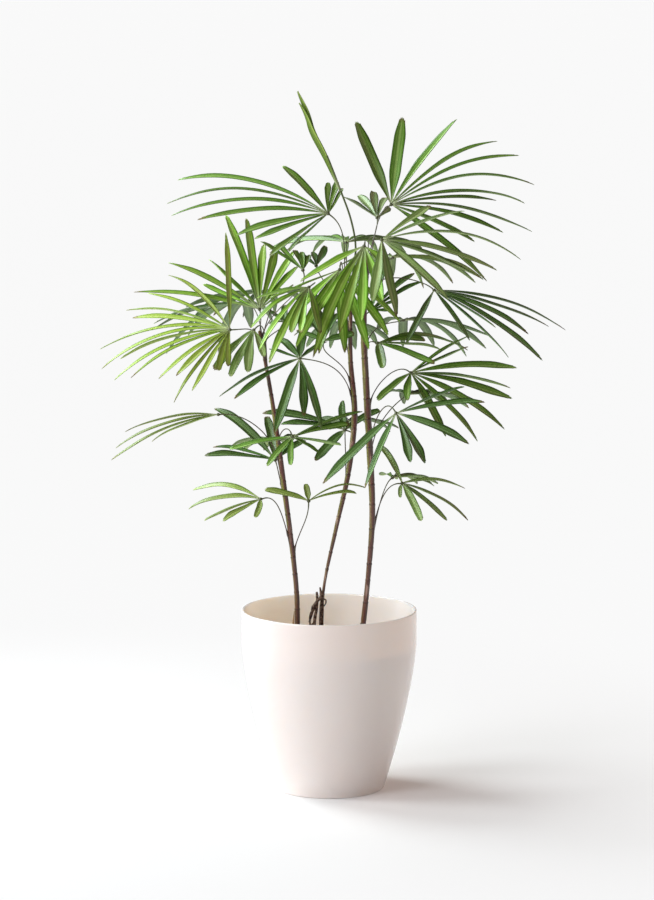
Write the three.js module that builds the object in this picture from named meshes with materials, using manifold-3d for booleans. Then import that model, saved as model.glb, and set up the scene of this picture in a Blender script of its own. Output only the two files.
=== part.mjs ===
// Potted slender lady palm: three bare canes with fan fronds on thin stalks, in a tapering plastic pot.
// Millimetres, +Z up, the front towards -Y. The origin is the middle of the pot's flat underside.

import * as THREE from 'three';
import { mergeVertices } from 'three/addons/utils/BufferGeometryUtils.js';
import Module from 'manifold-3d';

const wasm = await Module();
wasm.setup();

// Pot: a thin wall, straight near the rim and drawn in below it towards a smaller foot
const potHeight = 320;
const rimRadius = 154.5;
const footRadius = 97;
const straightFrom = 264;
const drawIn = 1.45;
const wallThickness = 4;
const floorThickness = 8;
const footEdge = 3;
const potSides = 40;
const outerSteps = 7;
const innerSteps = 5;

// Soil, and the gap left between pieces that touch
const soilLevel = 258;
const seatGap = 0.3;
const soilSideGap = 1.2;
const plantFoot = soilLevel + seatGap;

// Canes: their places and radii at even heights from the soil to the cane's tip
const caneSides = 8;
const caneRings = 20;
const ringBulge = 0.5;
const caneTension = 0.5;
const canes = {
  left: {
    top: 815,
    x: [-56, -57.5, -67, -79, -91, -105, -122],
    y: [-12, -12, -10, -8, -6, -6, -8],
    radius: [5, 4.6, 4.6, 5, 4.4, 3.6, 3],
  },
  middle: {
    top: 868,
    x: [-17, -9, 12, 34, 44.5, 37, 38],
    y: [10, 12, 14, 16, 20, 24, 22],
    radius: [4, 2.6, 3.8, 4.9, 5.4, 4.4, 3.2],
  },
  right: {
    top: 948,
    x: [56, 68, 75.5, 71, 64.5, 60, 67],
    y: [-6, -8, -12, -14, -14, -12, -10],
    radius: [5.4, 4.6, 5.4, 6.2, 6, 5.6, 4.2],
  },
};

// Old cut stub beside the middle cane, with two dead side shoots
const stubSides = 6;
const stubLimbs = [
  { path: [[-27, -6, 258.3], [-26, -4, 300], [-21.5, 2, 332], [-22, 3, 350]], radii: [3.4, 3, 2.6, 2] },
  { path: [[-24, -2, 322], [-33, -5, 312], [-34, -7, 290]], radii: [2, 2, 1.6] },
  { path: [[-26, -4, 296], [-32, -10, 292], [-34, -12, 278]], radii: [1.8, 1.8, 1.4] },
];

// Unopened frond: a folded blade on its stalk, up from the middle cane's tip
const spearPath = [
  [38, 22, 868.3], [42, 20, 915], [46, 18, 960], [38, 16, 1006], [20, 12, 1057], [-5, 6, 1121],
  [-25, 0, 1164], [-35, -2, 1195], [-54, -6, 1231],
];
const spearSides = 4;
const spearRadii = [2.4, 2, 1.8, 2, 2.8, 4.5, 6.5, 5.5, 0.7];

// Fronds: leaflets are keeled ribbons that spring from a small hub at the stalk's end
const leafletWidth = 17;
const keelShare = 0.011;
const tangentStep = 0.05;
const hubRadius = 7;
const hubTop = 1;
const hubUnder = 3;
const hubSteps = 8;
const rootDepth = 1.6;
const rootShare = 0.6;
const rootTurn = 2;
const sectorShare = 0.85;
const stalkWidth = 3;
const stalkDepth = 2.4;
const stalkRings = 4;
const stalkRise = 0.4;
const stalkSpread = 0.12;
const stalkArrival = 0.3;
const edgeShortening = 0.2;
const lengthJitter = 0.03;
const upTurn = 0.7;
const twistRange = 0.4;
const stations = [0.34, 0.74];
const widthShares = [0.12, 0.92, 1];
const pointShares = [-1, -0.33, 0.33, 1];

// Room kept between fronds and between stalks, the distance from the hub at which a frond's own stalk
// counts too, the pitch of the points that measure it, and what is tried to find it: shifts of a stalk's
// foot, and a leaflet's turns within its own sector, lifts and shortenings
const clearance = 8;
const stalkRoom = 4.5;
const hubRoom = 21;
const pitch = 5;
const footShifts = [0, 10, -10, 20, -20, 30, -30, 40, -40];
const shifts = [0, 0.12, -0.12, 0.25, -0.25];
const lifts = [0, 0.12, -0.12, 0.25, -0.25];
const shortenings = [1, 0.8, 0.6];

// A regular fan: the outer leaflets are shorter
const fan = (middle, spread, count) => {
  return Array.from({ length: count }, (_, index) => {
    const share = 2 * index / (count - 1) - 1;
    return [middle + spread * share / 2, 1 - edgeShortening * share ** 2];
  });
};

// Each frond: the height its stalk leaves its cane, its hub, the azimuth and rise of the way its blade
// faces, and how far its leaflets sink at the top and at the bottom of the blade. The leaflets are given
// by their bearings round the blade, clockwise from the top, in degrees, some with a share of the length.
const fronds = [
  { cane: 'middle', foot: 850, hub: [-2, 10, 1018], faces: [0, 20], length: 440, droop: [0.8, 0.9],
    leaflets: [[-133, 0.22], [-124, 0.28], [-105, 0.3], [-95, 0.36], [-79, 0.52], [-69, 0.68],
      [-62, 0.76], [-57, 0.72], [-40, 0.28], [0, 0.13], [15, 0.14], [30, 0.12]] },
  { cane: 'left', foot: 800, hub: [-122, 15, 850], faces: [0, 38], length: 230, droop: [0.12, 0.12],
    leaflets: [-71, [-61, 0.5], [-53, 0.9], [-39, 0.63], -16, [-7, 0.93], [3, 0.63], [12, 0.6], [25, 0.62],
      [35, 0.5], [47, 0.35]] },
  { cane: 'left', foot: 806, hub: [-172, -60, 822], faces: [0, 50], length: 208, droop: [0.1, 0.6],
    leaflets: [[-179, 0.38], [-168, 0.42], [-152, 0.63], [-142, 0.73], [-133, 0.6], [-122, 0.7],
      [-102, 0.85], [-94, 0.96], [-87, 0.95], [-79, 1.1], [-72, 1.2], [-64, 0.94], [-57, 1.07],
      [-48, 0.93], [-24, 1.12], [-5, 1.18]] },
  { cane: 'left', foot: 780, hub: [-35, -115, 901], faces: [0, 62], length: 150, droop: [0.2, 0.5],
    leaflets: [[-173, 0.7], [-163, 0.7], [-153, 0.97], [-142, 0.95], [-122, 0.8], [-95, 0.6],
      [170, 0.7]] },
  { cane: 'right', foot: 925, hub: [90, -90, 980], faces: [0, 40], length: 340, droop: [0.7, 0.5],
    leaflets: [[45, 0.36], [57, 0.5], [69, 0.76], [93, 0.58], [105, 0.52], [134, 0.47], [171, 0.45],
      [-172, 0.35]] },
  { cane: 'right', foot: 905, hub: [60, -62, 967], faces: [0, 48], length: 200, droop: [0.12, 0.2],
    leaflets: [[-123, 0.65], [-144, 0.75], [-155, 1.05], [-166, 0.9], [-178, 0.8], [165, 0.6], [138, 0.3]] },
  { cane: 'right', foot: 940, hub: [108, 20, 1033], faces: [0, 25], length: 360, droop: [0.7, 0.4],
    leaflets: [[-20, 0.49], [7, 0.47], [32, 0.62], [44, 0.77], [50, 0.86], [57, 0.86], [69, 0.7],
      [77, 0.54], [84, 0.7], [93, 0.54], [110, 0.42], [125, 0.55]] },
  { cane: 'right', foot: 930, hub: [84, 60, 1007], faces: [0, 60], length: 100, droop: [0.1, 0.1],
    leaflets: [[-36, 0.96], [-20, 0.92], [-3, 1.04], [12, 0.76], [32, 0.44]] },
  { cane: 'right', foot: 880, hub: [182, -30, 888], faces: [0, 60], length: 240, droop: [0.2, 0.3],
    leaflets: [[92, 0.97], [103, 0.83], [113, 0.75], [122, 0.9], [131, 0.57], [139, 0.78], [155, 0.57],
      [-159, 0.58]] },
  { cane: 'right', foot: 760, hub: [84, -60, 799], faces: [0, 60], length: 175, droop: [0.3, 0.3],
    leaflets: [[58, 1.1], [72, 0.5], [86, 0.64], [112, 0.6], [173, 0.4]] },
  { cane: 'right', foot: 690, hub: [143, 10, 739], faces: [0, 52], length: 190, droop: [0.12, 0.12],
    leaflets: [[43, 0.8], [54, 0.66], 75, [90, 0.9], [102, 0.95], 121, [140, 0.93], [158, 0.82],
      [-174, 0.34], [-137, 0.46]] },
  { cane: 'right', foot: 620, hub: [115, -110, 683], faces: [-25, 35], length: 170, droop: [0.1, 0.1],
    leaflets: [[57, 0.78], [71, 0.97], [101, 0.87], [139, 0.68], [151, 0.6], [-171, 0.85], -141] },
  { cane: 'right', foot: 480, hub: [128, -10, 546], faces: [0, 50], length: 130, droop: [0.3, 0.3],
    leaflets: [-17, [73, 0.9], [107, 0.92], [130, 0.8], [157, 0.65], [-174, 0.25]] },
  { cane: 'left', foot: 622, hub: [-64, -60, 635], faces: [0, 30], length: 175, droop: [0.15, 0.15],
    leaflets: [61, [72, 0.6], [98, 0.5], [120, 0.3], [-98, 0.62], [-140, 0.4], [-178, 0.3]] },
  { cane: 'left', foot: 430, hub: [-36, -38, 519], faces: [0, 25], length: 131, droop: [0.32, 0.32],
    leaflets: [[-62, 0.65], [-10, 0.25], 54, [65, 0.9]] },
  { cane: 'left', foot: 455, hub: [-120, -30, 521], faces: [0, 50], length: 150, droop: [0.4, 0.4],
    leaflets: [[-49, 1.09], [-74, 0.9], [-105, 0.67], [-119, 0.51], [-167, 0.27]] },
  { cane: 'left', foot: 590, hub: [-194, -20, 669], faces: [0, 60], length: 185, droop: [0.3, 0.3],
    leaflets: [[-82, 0.91], -91, [-100, 1.02], [-110, 0.67]] },
  { cane: 'left', foot: 545, hub: [-95, 5, 585], faces: [0, 45], length: 140, droop: [0.12, 0.12],
    leaflets: [[-77, 0.9], [-66, 0.85], [-34, 1.45], [-9, 0.77], [30, 0.5], [47, 0.51]] },
  { cane: 'middle', foot: 700, hub: [-51, -40, 770], faces: [0, 60], length: 175, droop: [0.15, 0.3],
    leaflets: [[-57, 0.46], [-71, 0.64], [-112, 0.89], [-124, 0.8], [-165, 0.94], [177, 0.75], [166, 0.9],
      [-28, 0.42], [5, 0.45], [38, 0.42]] },
  { cane: 'middle', foot: 725, hub: [-10, -20, 798], faces: [0, 45], length: 90, droop: [0.15, 0.15],
    leaflets: [[-58, 0.62], [-24, 0.76], [-8, 0.98], [9, 0.98], [24, 0.84], [67, 0.67]] },
  { cane: 'left', foot: 790, hub: [-79, 10, 828], faces: [0, 60], length: 60, droop: [0.1, 0.1],
    leaflets: fan(0, 150, 5) },
  { cane: 'left', foot: 785, hub: [-46, 0, 920], faces: [0, 40], length: 105, droop: [0.1, 0.1],
    leaflets: [-47, [-37, 0.7], [-19, 0.45], [-4, 0.4], [20, 0.35]] },
  { cane: 'middle', foot: 820, hub: [-23, 30, 925], faces: [0, 55], length: 80, droop: [0.1, 0.1],
    leaflets: [[-39, 0.6], [-10, 0.5], [16, 0.75]] },
  { cane: 'right', foot: 800, hub: [74, 110, 838], faces: [0, 50], length: 140, droop: [0.15, 0.15],
    leaflets: [10, 34, [45, 0.9], [58, 0.4], [85, 0.26]] },
  { cane: 'middle', foot: 560, hub: [28, 60, 631], faces: [0, 30], length: 165, droop: [0.2, 0.2],
    leaflets: [-65, [-76, 0.7], [-137, 0.47], [165, 0.53], [54, 0.48], [-5, 0.35]] },
  { cane: 'middle', foot: 800, hub: [18, -45, 925], faces: [0, 40], length: 165, droop: [0.2, 0.2],
    leaflets: fan(185, 110, 8) },
  { cane: 'left', foot: 720, hub: [-131, -45, 820], faces: [-15, 50], length: 90, droop: [0.3, 0.3],
    leaflets: [-95, -118, -140, -165, [175, 0.9], [150, 0.7]] },
  { cane: 'middle', foot: 845, hub: [30, 100, 960], faces: [0, 80], length: 250, droop: [0.35, 0.35],
    leaflets: fan(0, 90, 7) },
  { cane: 'right', foot: 900, hub: [112, 80, 935], faces: [0, 85], length: 240, droop: [0.35, 0.35],
    leaflets: fan(15, 90, 7) },
  { cane: 'left', foot: 795, hub: [-100, 75, 872], faces: [0, 85], length: 230, droop: [0.35, 0.35],
    leaflets: fan(-15, 90, 7) },
  { cane: 'right', foot: 780, hub: [132, 100, 822], faces: [0, 88], length: 220, droop: [0.35, 0.35],
    leaflets: fan(25, 80, 6) },
  { cane: 'left', foot: 740, hub: [-150, 120, 850], faces: [0, 90], length: 220, droop: [0.35, 0.35],
    leaflets: fan(-30, 90, 7) },
  { cane: 'middle', foot: 740, hub: [25, 130, 812], faces: [0, 88], length: 200, droop: [0.35, 0.35],
    leaflets: fan(0, 70, 6) },
  { cane: 'right', foot: 600, hub: [140, 90, 690], faces: [0, 85], length: 190, droop: [0.3, 0.3],
    leaflets: fan(20, 70, 6) },
  { cane: 'left', foot: 540, hub: [-90, 90, 606], faces: [0, 85], length: 170, droop: [0.3, 0.3],
    leaflets: fan(-10, 60, 5) },
  { cane: 'middle', foot: 520, hub: [32, 100, 640], faces: [0, 85], length: 170, droop: [0.3, 0.3],
    leaflets: fan(10, 70, 6) },
  { cane: 'right', foot: 430, hub: [112, 60, 545], faces: [0, 85], length: 140, droop: [0.3, 0.3],
    leaflets: fan(20, 60, 5) },
];

const caneMaterial = new THREE.MeshStandardMaterial({ color: 0x6b4232, roughness: 0.7, metalness: 0 });
const stubMaterial = new THREE.MeshStandardMaterial({ color: 0x3c2c26, roughness: 0.85, metalness: 0 });
const potMaterial = new THREE.MeshStandardMaterial({ color: 0xf1ece6, roughness: 0.25, metalness: 0 });
const soilMaterial = new THREE.MeshStandardMaterial({ color: 0x3a2d24, roughness: 0.95, metalness: 0 });
const frondMaterial = new THREE.MeshStandardMaterial({ color: 0x4f8a35, roughness: 0.5, metalness: 0 });

const weldDistance = 1e-4;
const up = new THREE.Vector3(0, 0, 1);
const vector = (values) => new THREE.Vector3(...values);
const radians = THREE.MathUtils.degToRad;

// Seeded random numbers from -1 to 1, the same on every build
let seed = 20417;
function random() {
  seed = (Math.imul(seed, 1664525) + 1013904223) >>> 0;
  return seed / 2147483648 - 1;
}

const palm = new THREE.Group();

function addPiece(name, geometry, material) {
  const mesh = new THREE.Mesh(geometry, material);
  mesh.name = name;
  palm.add(mesh);
}

function geometryOf(corners, indices) {
  const geometry = new THREE.BufferGeometry();
  const positions = corners.flatMap((corner) => corner.toArray());
  geometry.setAttribute('position', new THREE.Float32BufferAttribute(positions, 3));
  geometry.setIndex(indices);
  return geometry;
}

// The sides of a run of rings that starts at the given corner
function ringSides(first, ringCount, sides) {
  const indices = [];
  for (let ring = 0; ring + 1 < ringCount; ring += 1) {
    for (let side = 0; side < sides; side += 1) {
      const a = first + ring * sides + side;
      const b = first + ring * sides + (side + 1) % sides;
      indices.push(a, b, a + sides, b, b + sides, a + sides);
    }
  }
  return indices;
}

// A closed surface from rings of corners, with a flat face at each end
function loft(rings) {
  const sides = rings[0].length;
  const indices = ringSides(0, rings.length, sides);
  const last = (rings.length - 1) * sides;
  for (let side = 1; side + 1 < sides; side += 1) {
    indices.push(0, side + 1, side, last, last + side, last + side + 1);
  }
  return geometryOf(rings.flat(), indices);
}

// A tapering tube along a centre line, its rings square to the line
function tube(path, radii, sides) {
  const centres = path.map(vector);
  const last = centres.length - 1;
  const rings = centres.map((centre, index) => {
    const before = centres[Math.max(index - 1, 0)];
    const after = centres[Math.min(index + 1, last)];
    const ahead = index ? after.clone().sub(before).normalize() : up;
    const across = new THREE.Vector3(0, 1, 0).cross(ahead).normalize();
    const over = ahead.clone().cross(across);
    return Array.from({ length: sides }, (_, side) => {
      const turn = 2 * Math.PI * side / sides;
      return centre.clone()
        .addScaledVector(across, radii[index] * Math.cos(turn))
        .addScaledVector(over, radii[index] * Math.sin(turn));
    });
  });
  return loft(rings);
}

function toSolid(geometry) {
  const merged = mergeVertices(geometry, weldDistance);
  return new wasm.Manifold(new wasm.Mesh({
    numProp: 3,
    vertProperties: new Float32Array(merged.attributes.position.array),
    triVerts: new Uint32Array(merged.index.array),
  }));
}

function union(geometries) {
  const mesh = geometries.map(toSolid).reduce((sum, next) => sum.add(next)).getMesh();
  const geometry = new THREE.BufferGeometry();
  geometry.setAttribute('position', new THREE.BufferAttribute(mesh.vertProperties, 3));
  geometry.setIndex(new THREE.BufferAttribute(mesh.triVerts, 1));
  return geometry;
}

// Pot and soil
function potRadius(z) {
  const below = Math.max(straightFrom - z, 0) / straightFrom;
  return rimRadius - (rimRadius - footRadius) * below ** drawIn;
}

function lathe(profile) {
  const geometry = new THREE.LatheGeometry(profile.map(([r, z]) => new THREE.Vector2(r, z)), potSides);
  return geometry.rotateX(Math.PI / 2);
}

function heights(from, to, count) {
  return Array.from({ length: count + 1 }, (_, step) => from + (to - from) * step / count);
}

function makePot() {
  const rimCentre = potHeight - wallThickness / 2;
  const outer = heights(footEdge, rimCentre, outerSteps).map((z) => [potRadius(z), z]);
  const inner = heights(rimCentre, floorThickness, innerSteps).map((z) => [potRadius(z) - wallThickness, z]);
  addPiece('pot', lathe([
    [0, 0],
    [footRadius - footEdge, 0],
    ...outer,
    [rimRadius - wallThickness / 2, potHeight],
    ...inner,
    [0, floorThickness],
  ]), potMaterial);
}

function makeSoil() {
  const bottom = floorThickness + seatGap;
  const side = heights(bottom, soilLevel, innerSteps)
    .map((z) => [potRadius(z) - wallThickness - soilSideGap, z]);
  addPiece('soil', lathe([[0, bottom], ...side, [0, soilLevel]]), soilMaterial);
}

// Canes
function caneAt(cane, z) {
  const share = THREE.MathUtils.clamp((z - plantFoot) / (cane.top - plantFoot), 0, 1);
  const place = cane.axis.getPoint(share).setZ(z);
  const station = share * (cane.radius.length - 1);
  const below = Math.min(Math.floor(station), cane.radius.length - 2);
  const radius = THREE.MathUtils.lerp(cane.radius[below], cane.radius[below + 1], station - below);
  return { place, radius };
}

function caneRing(cane, z, bulge) {
  const { place, radius } = caneAt(cane, z);
  return Array.from({ length: caneSides }, (_, side) => {
    const turn = 2 * Math.PI * side / caneSides;
    const corner = new THREE.Vector3(Math.cos(turn), Math.sin(turn), 0);
    return corner.multiplyScalar(radius + bulge).add(place);
  });
}

function makeCane(name, cane) {
  const points = heights(plantFoot, cane.top, cane.x.length - 1)
    .map((z, index) => new THREE.Vector3(cane.x[index], cane.y[index], z));
  cane.axis = new THREE.CatmullRomCurve3(points, false, 'catmullrom', caneTension);
  cane.rings = heights(plantFoot, cane.top, caneRings)
    .map((z, ring) => caneRing(cane, z, ring % 2 ? ringBulge : 0));
  addPiece(`cane_${name}`, loft(cane.rings), caneMaterial);
  heights(plantFoot, cane.top, Math.ceil((cane.top - plantFoot) / pitch))
    .forEach((z) => markTaken(caneRing(cane, z, 0), name));
}

// The middle of the flat side of a cane that looks most nearly the given way, at a height
function flankAt(cane, z, toward) {
  const ring = (z - plantFoot) / (cane.top - plantFoot) * caneRings;
  const below = Math.min(Math.floor(ring), caneRings - 1);
  const corners = cane.rings[below]
    .map((corner, side) => corner.clone().lerp(cane.rings[below + 1][side], ring - below));
  const middles = corners
    .map((corner, side) => corner.clone().lerp(corners[(side + 1) % caneSides], 0.5))
    .map((middle) => ({ middle, outward: middle.clone().sub(caneAt(cane, z).place).setZ(0).normalize() }));
  return middles.reduce((best, next) => (next.outward.dot(toward) > best.outward.dot(toward) ? next : best));
}

// The points that keep pieces apart, found by the cell they lie in
const cells = new Map();
const cellOf = (value) => Math.floor(value / clearance);

function markTaken(points, owner) {
  points.forEach((point) => {
    const key = `${cellOf(point.x)},${cellOf(point.y)},${cellOf(point.z)}`;
    if (!cells.has(key)) cells.set(key, []);
    cells.get(key).push({ point, owner });
  });
}

function isFree(point, room, owners) {
  const [i, j, k] = [cellOf(point.x), cellOf(point.y), cellOf(point.z)];
  for (let a = i - 1; a <= i + 1; a += 1) {
    for (let b = j - 1; b <= j + 1; b += 1) {
      for (let c = k - 1; c <= k + 1; c += 1) {
        const taken = cells.get(`${a},${b},${c}`) ?? [];
        if (taken.some((other) => !owners.includes(other.owner) && other.point.distanceTo(point) < room)) {
          return false;
        }
      }
    }
  }
  return true;
}

// A frond's blade plane: the way it faces, its level line and its upward line
function bladePlane([azimuth, rise]) {
  const [turn, tilt] = [radians(azimuth), radians(rise)];
  const faces = vector([Math.sin(turn) * Math.cos(tilt), -Math.cos(turn) * Math.cos(tilt), Math.sin(tilt)]);
  const level = vector([Math.cos(turn), Math.sin(turn), 0]);
  return { faces, level, slope: faces.clone().cross(level) };
}

function bearingLine(plane, bearing) {
  const turn = radians(bearing);
  return plane.slope.clone().multiplyScalar(Math.cos(turn)).addScaledVector(plane.level, Math.sin(turn));
}

// The leaflets' bearings in order round the hub, from the widest gap, whose middle the stalk takes
function orderLeaflets(leaflets) {
  const sorted = leaflets
    .map((leaflet) => (Array.isArray(leaflet) ? leaflet : [leaflet, 1]))
    .map(([bearing, share]) => [(bearing + 720) % 360, share])
    .sort((one, other) => one[0] - other[0]);
  const gaps = sorted.map(([bearing], index) => {
    return (sorted[(index + 1) % sorted.length][0] - bearing + 360) % 360;
  });
  const widest = gaps.indexOf(Math.max(...gaps));
  const first = (widest + 1) % sorted.length;
  const inOrder = sorted.map((_, index) => sorted[(first + index) % sorted.length]);
  const start = inOrder[0][0];
  const bearings = inOrder.map(([bearing]) => start + (bearing - start + 360) % 360);
  const lastGap = bearings.at(-1) - bearings.at(-2);
  const gapAfter = bearings.map((bearing, index) => (bearings[index + 1] ?? bearing + lastGap) - bearing);
  return {
    bearings,
    shares: inOrder.map(([, share]) => share),
    sectors: gapAfter.map((gap, index) => Math.min(gap, gapAfter[index - 1] ?? gap)),
    stalkBearing: start - gaps[widest] / 2,
  };
}

// A leaflet's centre line sinks by the square of the way along it
function leafletAt(leaflet, t) {
  const scale = leaflet.length / (1 + leaflet.droop ** 2 / 6);
  const place = leaflet.hub.clone().addScaledVector(leaflet.out, scale * t);
  place.z -= scale * leaflet.droop * t ** 2;
  return place;
}

// Widening from the hub to the first station, then nearly even, then tapering to the tip
function widthShareAt(t) {
  const { lerp } = THREE.MathUtils;
  const [near, far] = stations;
  const [root, lower, upper] = widthShares;
  if (t < near) return lerp(root, lower, t / near);
  if (t < far) return lerp(lower, upper, (t - near) / (far - near));
  return lerp(upper, 0, (t - far) / (1 - far));
}

// A leaflet is no wider than its sector, so that neighbours in one blade stay apart
function leafletWidthAt(leaflet, t) {
  return Math.min(leafletWidth * widthShareAt(t), sectorShare * leaflet.length * t * leaflet.sector);
}

function leafletPoints(leaflet) {
  const count = Math.ceil(leaflet.length / pitch);
  return heights(hubRadius * 2 / leaflet.length, 1, count).flatMap((t) => {
    const centre = leafletAt(leaflet, t);
    const half = leafletWidthAt(leaflet, t) / 2;
    return pointShares.map((share) => centre.clone().addScaledVector(leaflet.across, half * share));
  });
}

// The first of the small shifts, lifts and shortenings that clears every other frond and cane.
// A leaflet's own face is turned from the way the blade faces towards the sky.
function settleLeaflet(frond, index, length, twist) {
  const bearing = frond.bearings[index];
  const sector = frond.sectors[index];
  for (const shortening of shortenings) {
    for (const lift of lifts) {
      for (const shift of shifts) {
        const turned = bearing + shift * sector;
        const out = bearingLine(frond.plane, turned);
        const level = out.clone().cross(frond.lie).normalize();
        const across = level.clone().multiplyScalar(Math.cos(twist))
          .addScaledVector(level.cross(out), Math.sin(twist));
        const droop = THREE.MathUtils.lerp(...frond.droop, (1 - Math.cos(radians(bearing))) / 2);
        const sag = (droop * (length / frond.length) ** 2 + lift) * (1 - out.z ** 2);
        const leaflet = { hub: frond.hub, bearing: turned, out, across, droop: sag };
        leaflet.length = length * shortening;
        leaflet.sector = radians(sector) * (1 - 2 * Math.abs(shift));
        const points = leafletPoints(leaflet);
        if (points.every((point) => isFree(point, clearance, [frond.name]))) {
          markTaken(points, frond.name);
          return leaflet;
        }
      }
    }
  }
  return null;
}

// A section of three corners: left edge, right edge and the keel under them
function section(centre, ahead, side, width, keel) {
  const across = side.clone().addScaledVector(ahead, -side.dot(ahead)).normalize();
  const under = across.clone().cross(ahead).normalize();
  return [
    centre.clone().addScaledVector(across, width / 2),
    centre.clone().addScaledVector(across, -width / 2),
    centre.clone().addScaledVector(under, keel),
  ];
}

// Where the stalk or a leaflet springs from the hub, the leaflet turned part of the way to its own face
function rootSection(frond, bearing, width, across) {
  const out = bearingLine(frond.plane, bearing);
  const centre = frond.hub.clone().addScaledVector(out, hubRadius);
  const side = frond.plane.faces.clone().cross(out);
  if (across) side.addScaledVector(across, -rootTurn);
  return section(centre, out, side, width, rootDepth);
}

function leafletSections(leaflet) {
  return stations.map((t) => {
    const centre = leafletAt(leaflet, t);
    const ahead = leafletAt(leaflet, t + tangentStep).sub(centre).normalize();
    const side = leaflet.across.clone().negate();
    return section(centre, ahead, side, leafletWidthAt(leaflet, t), leaflet.length * keelShare);
  });
}

// The stalk leaves its cane steeply and bends over into the hub
function stalkFrom(frond, foot) {
  const cane = canes[frond.cane];
  const toward = frond.hub.clone().sub(caneAt(cane, foot).place).setZ(0).normalize();
  const { middle, outward } = flankAt(cane, foot, toward);
  const back = bearingLine(frond.plane, frond.stalkBearing);
  const start = middle.addScaledVector(outward, seatGap);
  const end = frond.hub.clone().addScaledVector(back, hubRadius);
  const reach = end.distanceTo(start);
  const leave = start.clone()
    .addScaledVector(up, reach * stalkRise)
    .addScaledVector(outward, reach * stalkSpread);
  const arrive = end.clone().addScaledVector(back, reach * stalkArrival);
  return {
    line: new THREE.CubicBezierCurve3(start, leave, arrive, end),
    footSide: outward.clone().cross(up),
    hubSide: frond.plane.faces.clone().cross(back),
  };
}

// The hub's middle and points round its edge
function hubPoints(frond) {
  const edge = heights(0, 360, hubSteps)
    .map((bearing) => frond.hub.clone().addScaledVector(bearingLine(frond.plane, bearing), hubRadius));
  return [frond.hub, ...edge];
}

// The first shift of the foot at which the stalk clears the other canes, hubs and stalks
function settleStalk(frond) {
  for (const shift of footShifts) {
    if (frond.foot + shift < canes[frond.cane].top) {
      const stalk = stalkFrom(frond, frond.foot + shift);
      const points = stalk.line.getSpacedPoints(Math.ceil(stalk.line.getLength() / pitch));
      if (points.every((point) => isFree(point, stalkRoom, [frond.cane, frond.name]))) {
        markTaken(points.filter((point) => point.distanceTo(frond.hub) < hubRoom), frond.name);
        markTaken(points.filter((point) => point.distanceTo(frond.hub) >= hubRoom), `${frond.name} stalk`);
        return stalk;
      }
    }
  }
  return null;
}

function stalkSections({ stalk }) {
  return heights(1 - 1 / stalkRings, 0, stalkRings - 1).map((share) => {
    const ahead = stalk.line.getTangent(share).negate();
    const side = stalk.footSide.clone().lerp(stalk.hubSide, share);
    return section(stalk.line.getPoint(share), ahead, side, stalkWidth, stalkDepth);
  });
}

// The hub and its spokes in order of bearing, one closed skin: each spoke is a run of sections
function frondGeometry(frond, leaflets) {
  const spokes = leaflets.map((leaflet) => {
    const rootWidth = Math.min(stalkWidth, rootShare * hubRadius * leaflet.sector);
    const root = rootSection(frond, leaflet.bearing, rootWidth, leaflet.across);
    return { sections: [root, ...leafletSections(leaflet)], tip: leafletAt(leaflet, 1) };
  });
  const stalkRoot = rootSection(frond, frond.stalkBearing, stalkWidth);
  spokes.push({ sections: [stalkRoot, ...stalkSections(frond)] });

  const corners = [
    frond.hub.clone().addScaledVector(frond.plane.faces, hubTop),
    frond.hub.clone().addScaledVector(frond.plane.faces, -hubUnder),
  ];
  const indices = [];
  spokes.forEach((spoke) => {
    spoke.first = corners.length;
    corners.push(...spoke.sections.flat());
    indices.push(...ringSides(spoke.first, spoke.sections.length, 3));
    const end = corners.length - 3;
    if (spoke.tip) {
      corners.push(spoke.tip);
      indices.push(end, end + 1, end + 3, end + 1, end + 2, end + 3, end + 2, end, end + 3);
    } else {
      indices.push(end, end + 1, end + 2);
    }
  });
  spokes.forEach((spoke, index) => {
    const [left, right, keel] = [spoke.first, spoke.first + 1, spoke.first + 2];
    const next = spokes[(index + 1) % spokes.length].first;
    indices.push(0, right, left, 0, next, right, 1, keel, right, 1, left, keel, 1, right, next);
  });
  return geometryOf(corners, indices);
}

makePot();
makeSoil();
Object.entries(canes).forEach(([name, cane]) => makeCane(name, cane));
addPiece('old_stub', union(stubLimbs.map(({ path, radii }) => tube(path, radii, stubSides))), stubMaterial);
addPiece('spear', tube(spearPath, spearRadii, spearSides), frondMaterial);
const spearLine = new THREE.CatmullRomCurve3(spearPath.map(vector));
markTaken(spearLine.getSpacedPoints(Math.ceil(spearLine.getLength() / pitch)), 'spear');

const counts = {};
fronds.forEach((frond) => {
  counts[frond.cane] = (counts[frond.cane] ?? 0) + 1;
  frond.name = `frond_${frond.cane}_${counts[frond.cane]}`;
  frond.hub = vector(frond.hub);
  frond.plane = bladePlane(frond.faces);
  frond.lie = frond.plane.faces.clone().lerp(up, upTurn);
  Object.assign(frond, orderLeaflets(frond.leaflets));
  markTaken(hubPoints(frond), frond.name);
});
fronds.forEach((frond) => {
  frond.stalk = settleStalk(frond);
});
fronds.filter((frond) => frond.stalk).forEach((frond) => {
  const leaflets = frond.shares.map((share, index) => {
    const length = frond.length * share * (1 + lengthJitter * random());
    return settleLeaflet(frond, index, length, twistRange * random());
  });
  addPiece(frond.name, frondGeometry(frond, leaflets.filter(Boolean)), frondMaterial);
});

export default palm;
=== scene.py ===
import itertools
import math
import random

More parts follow.
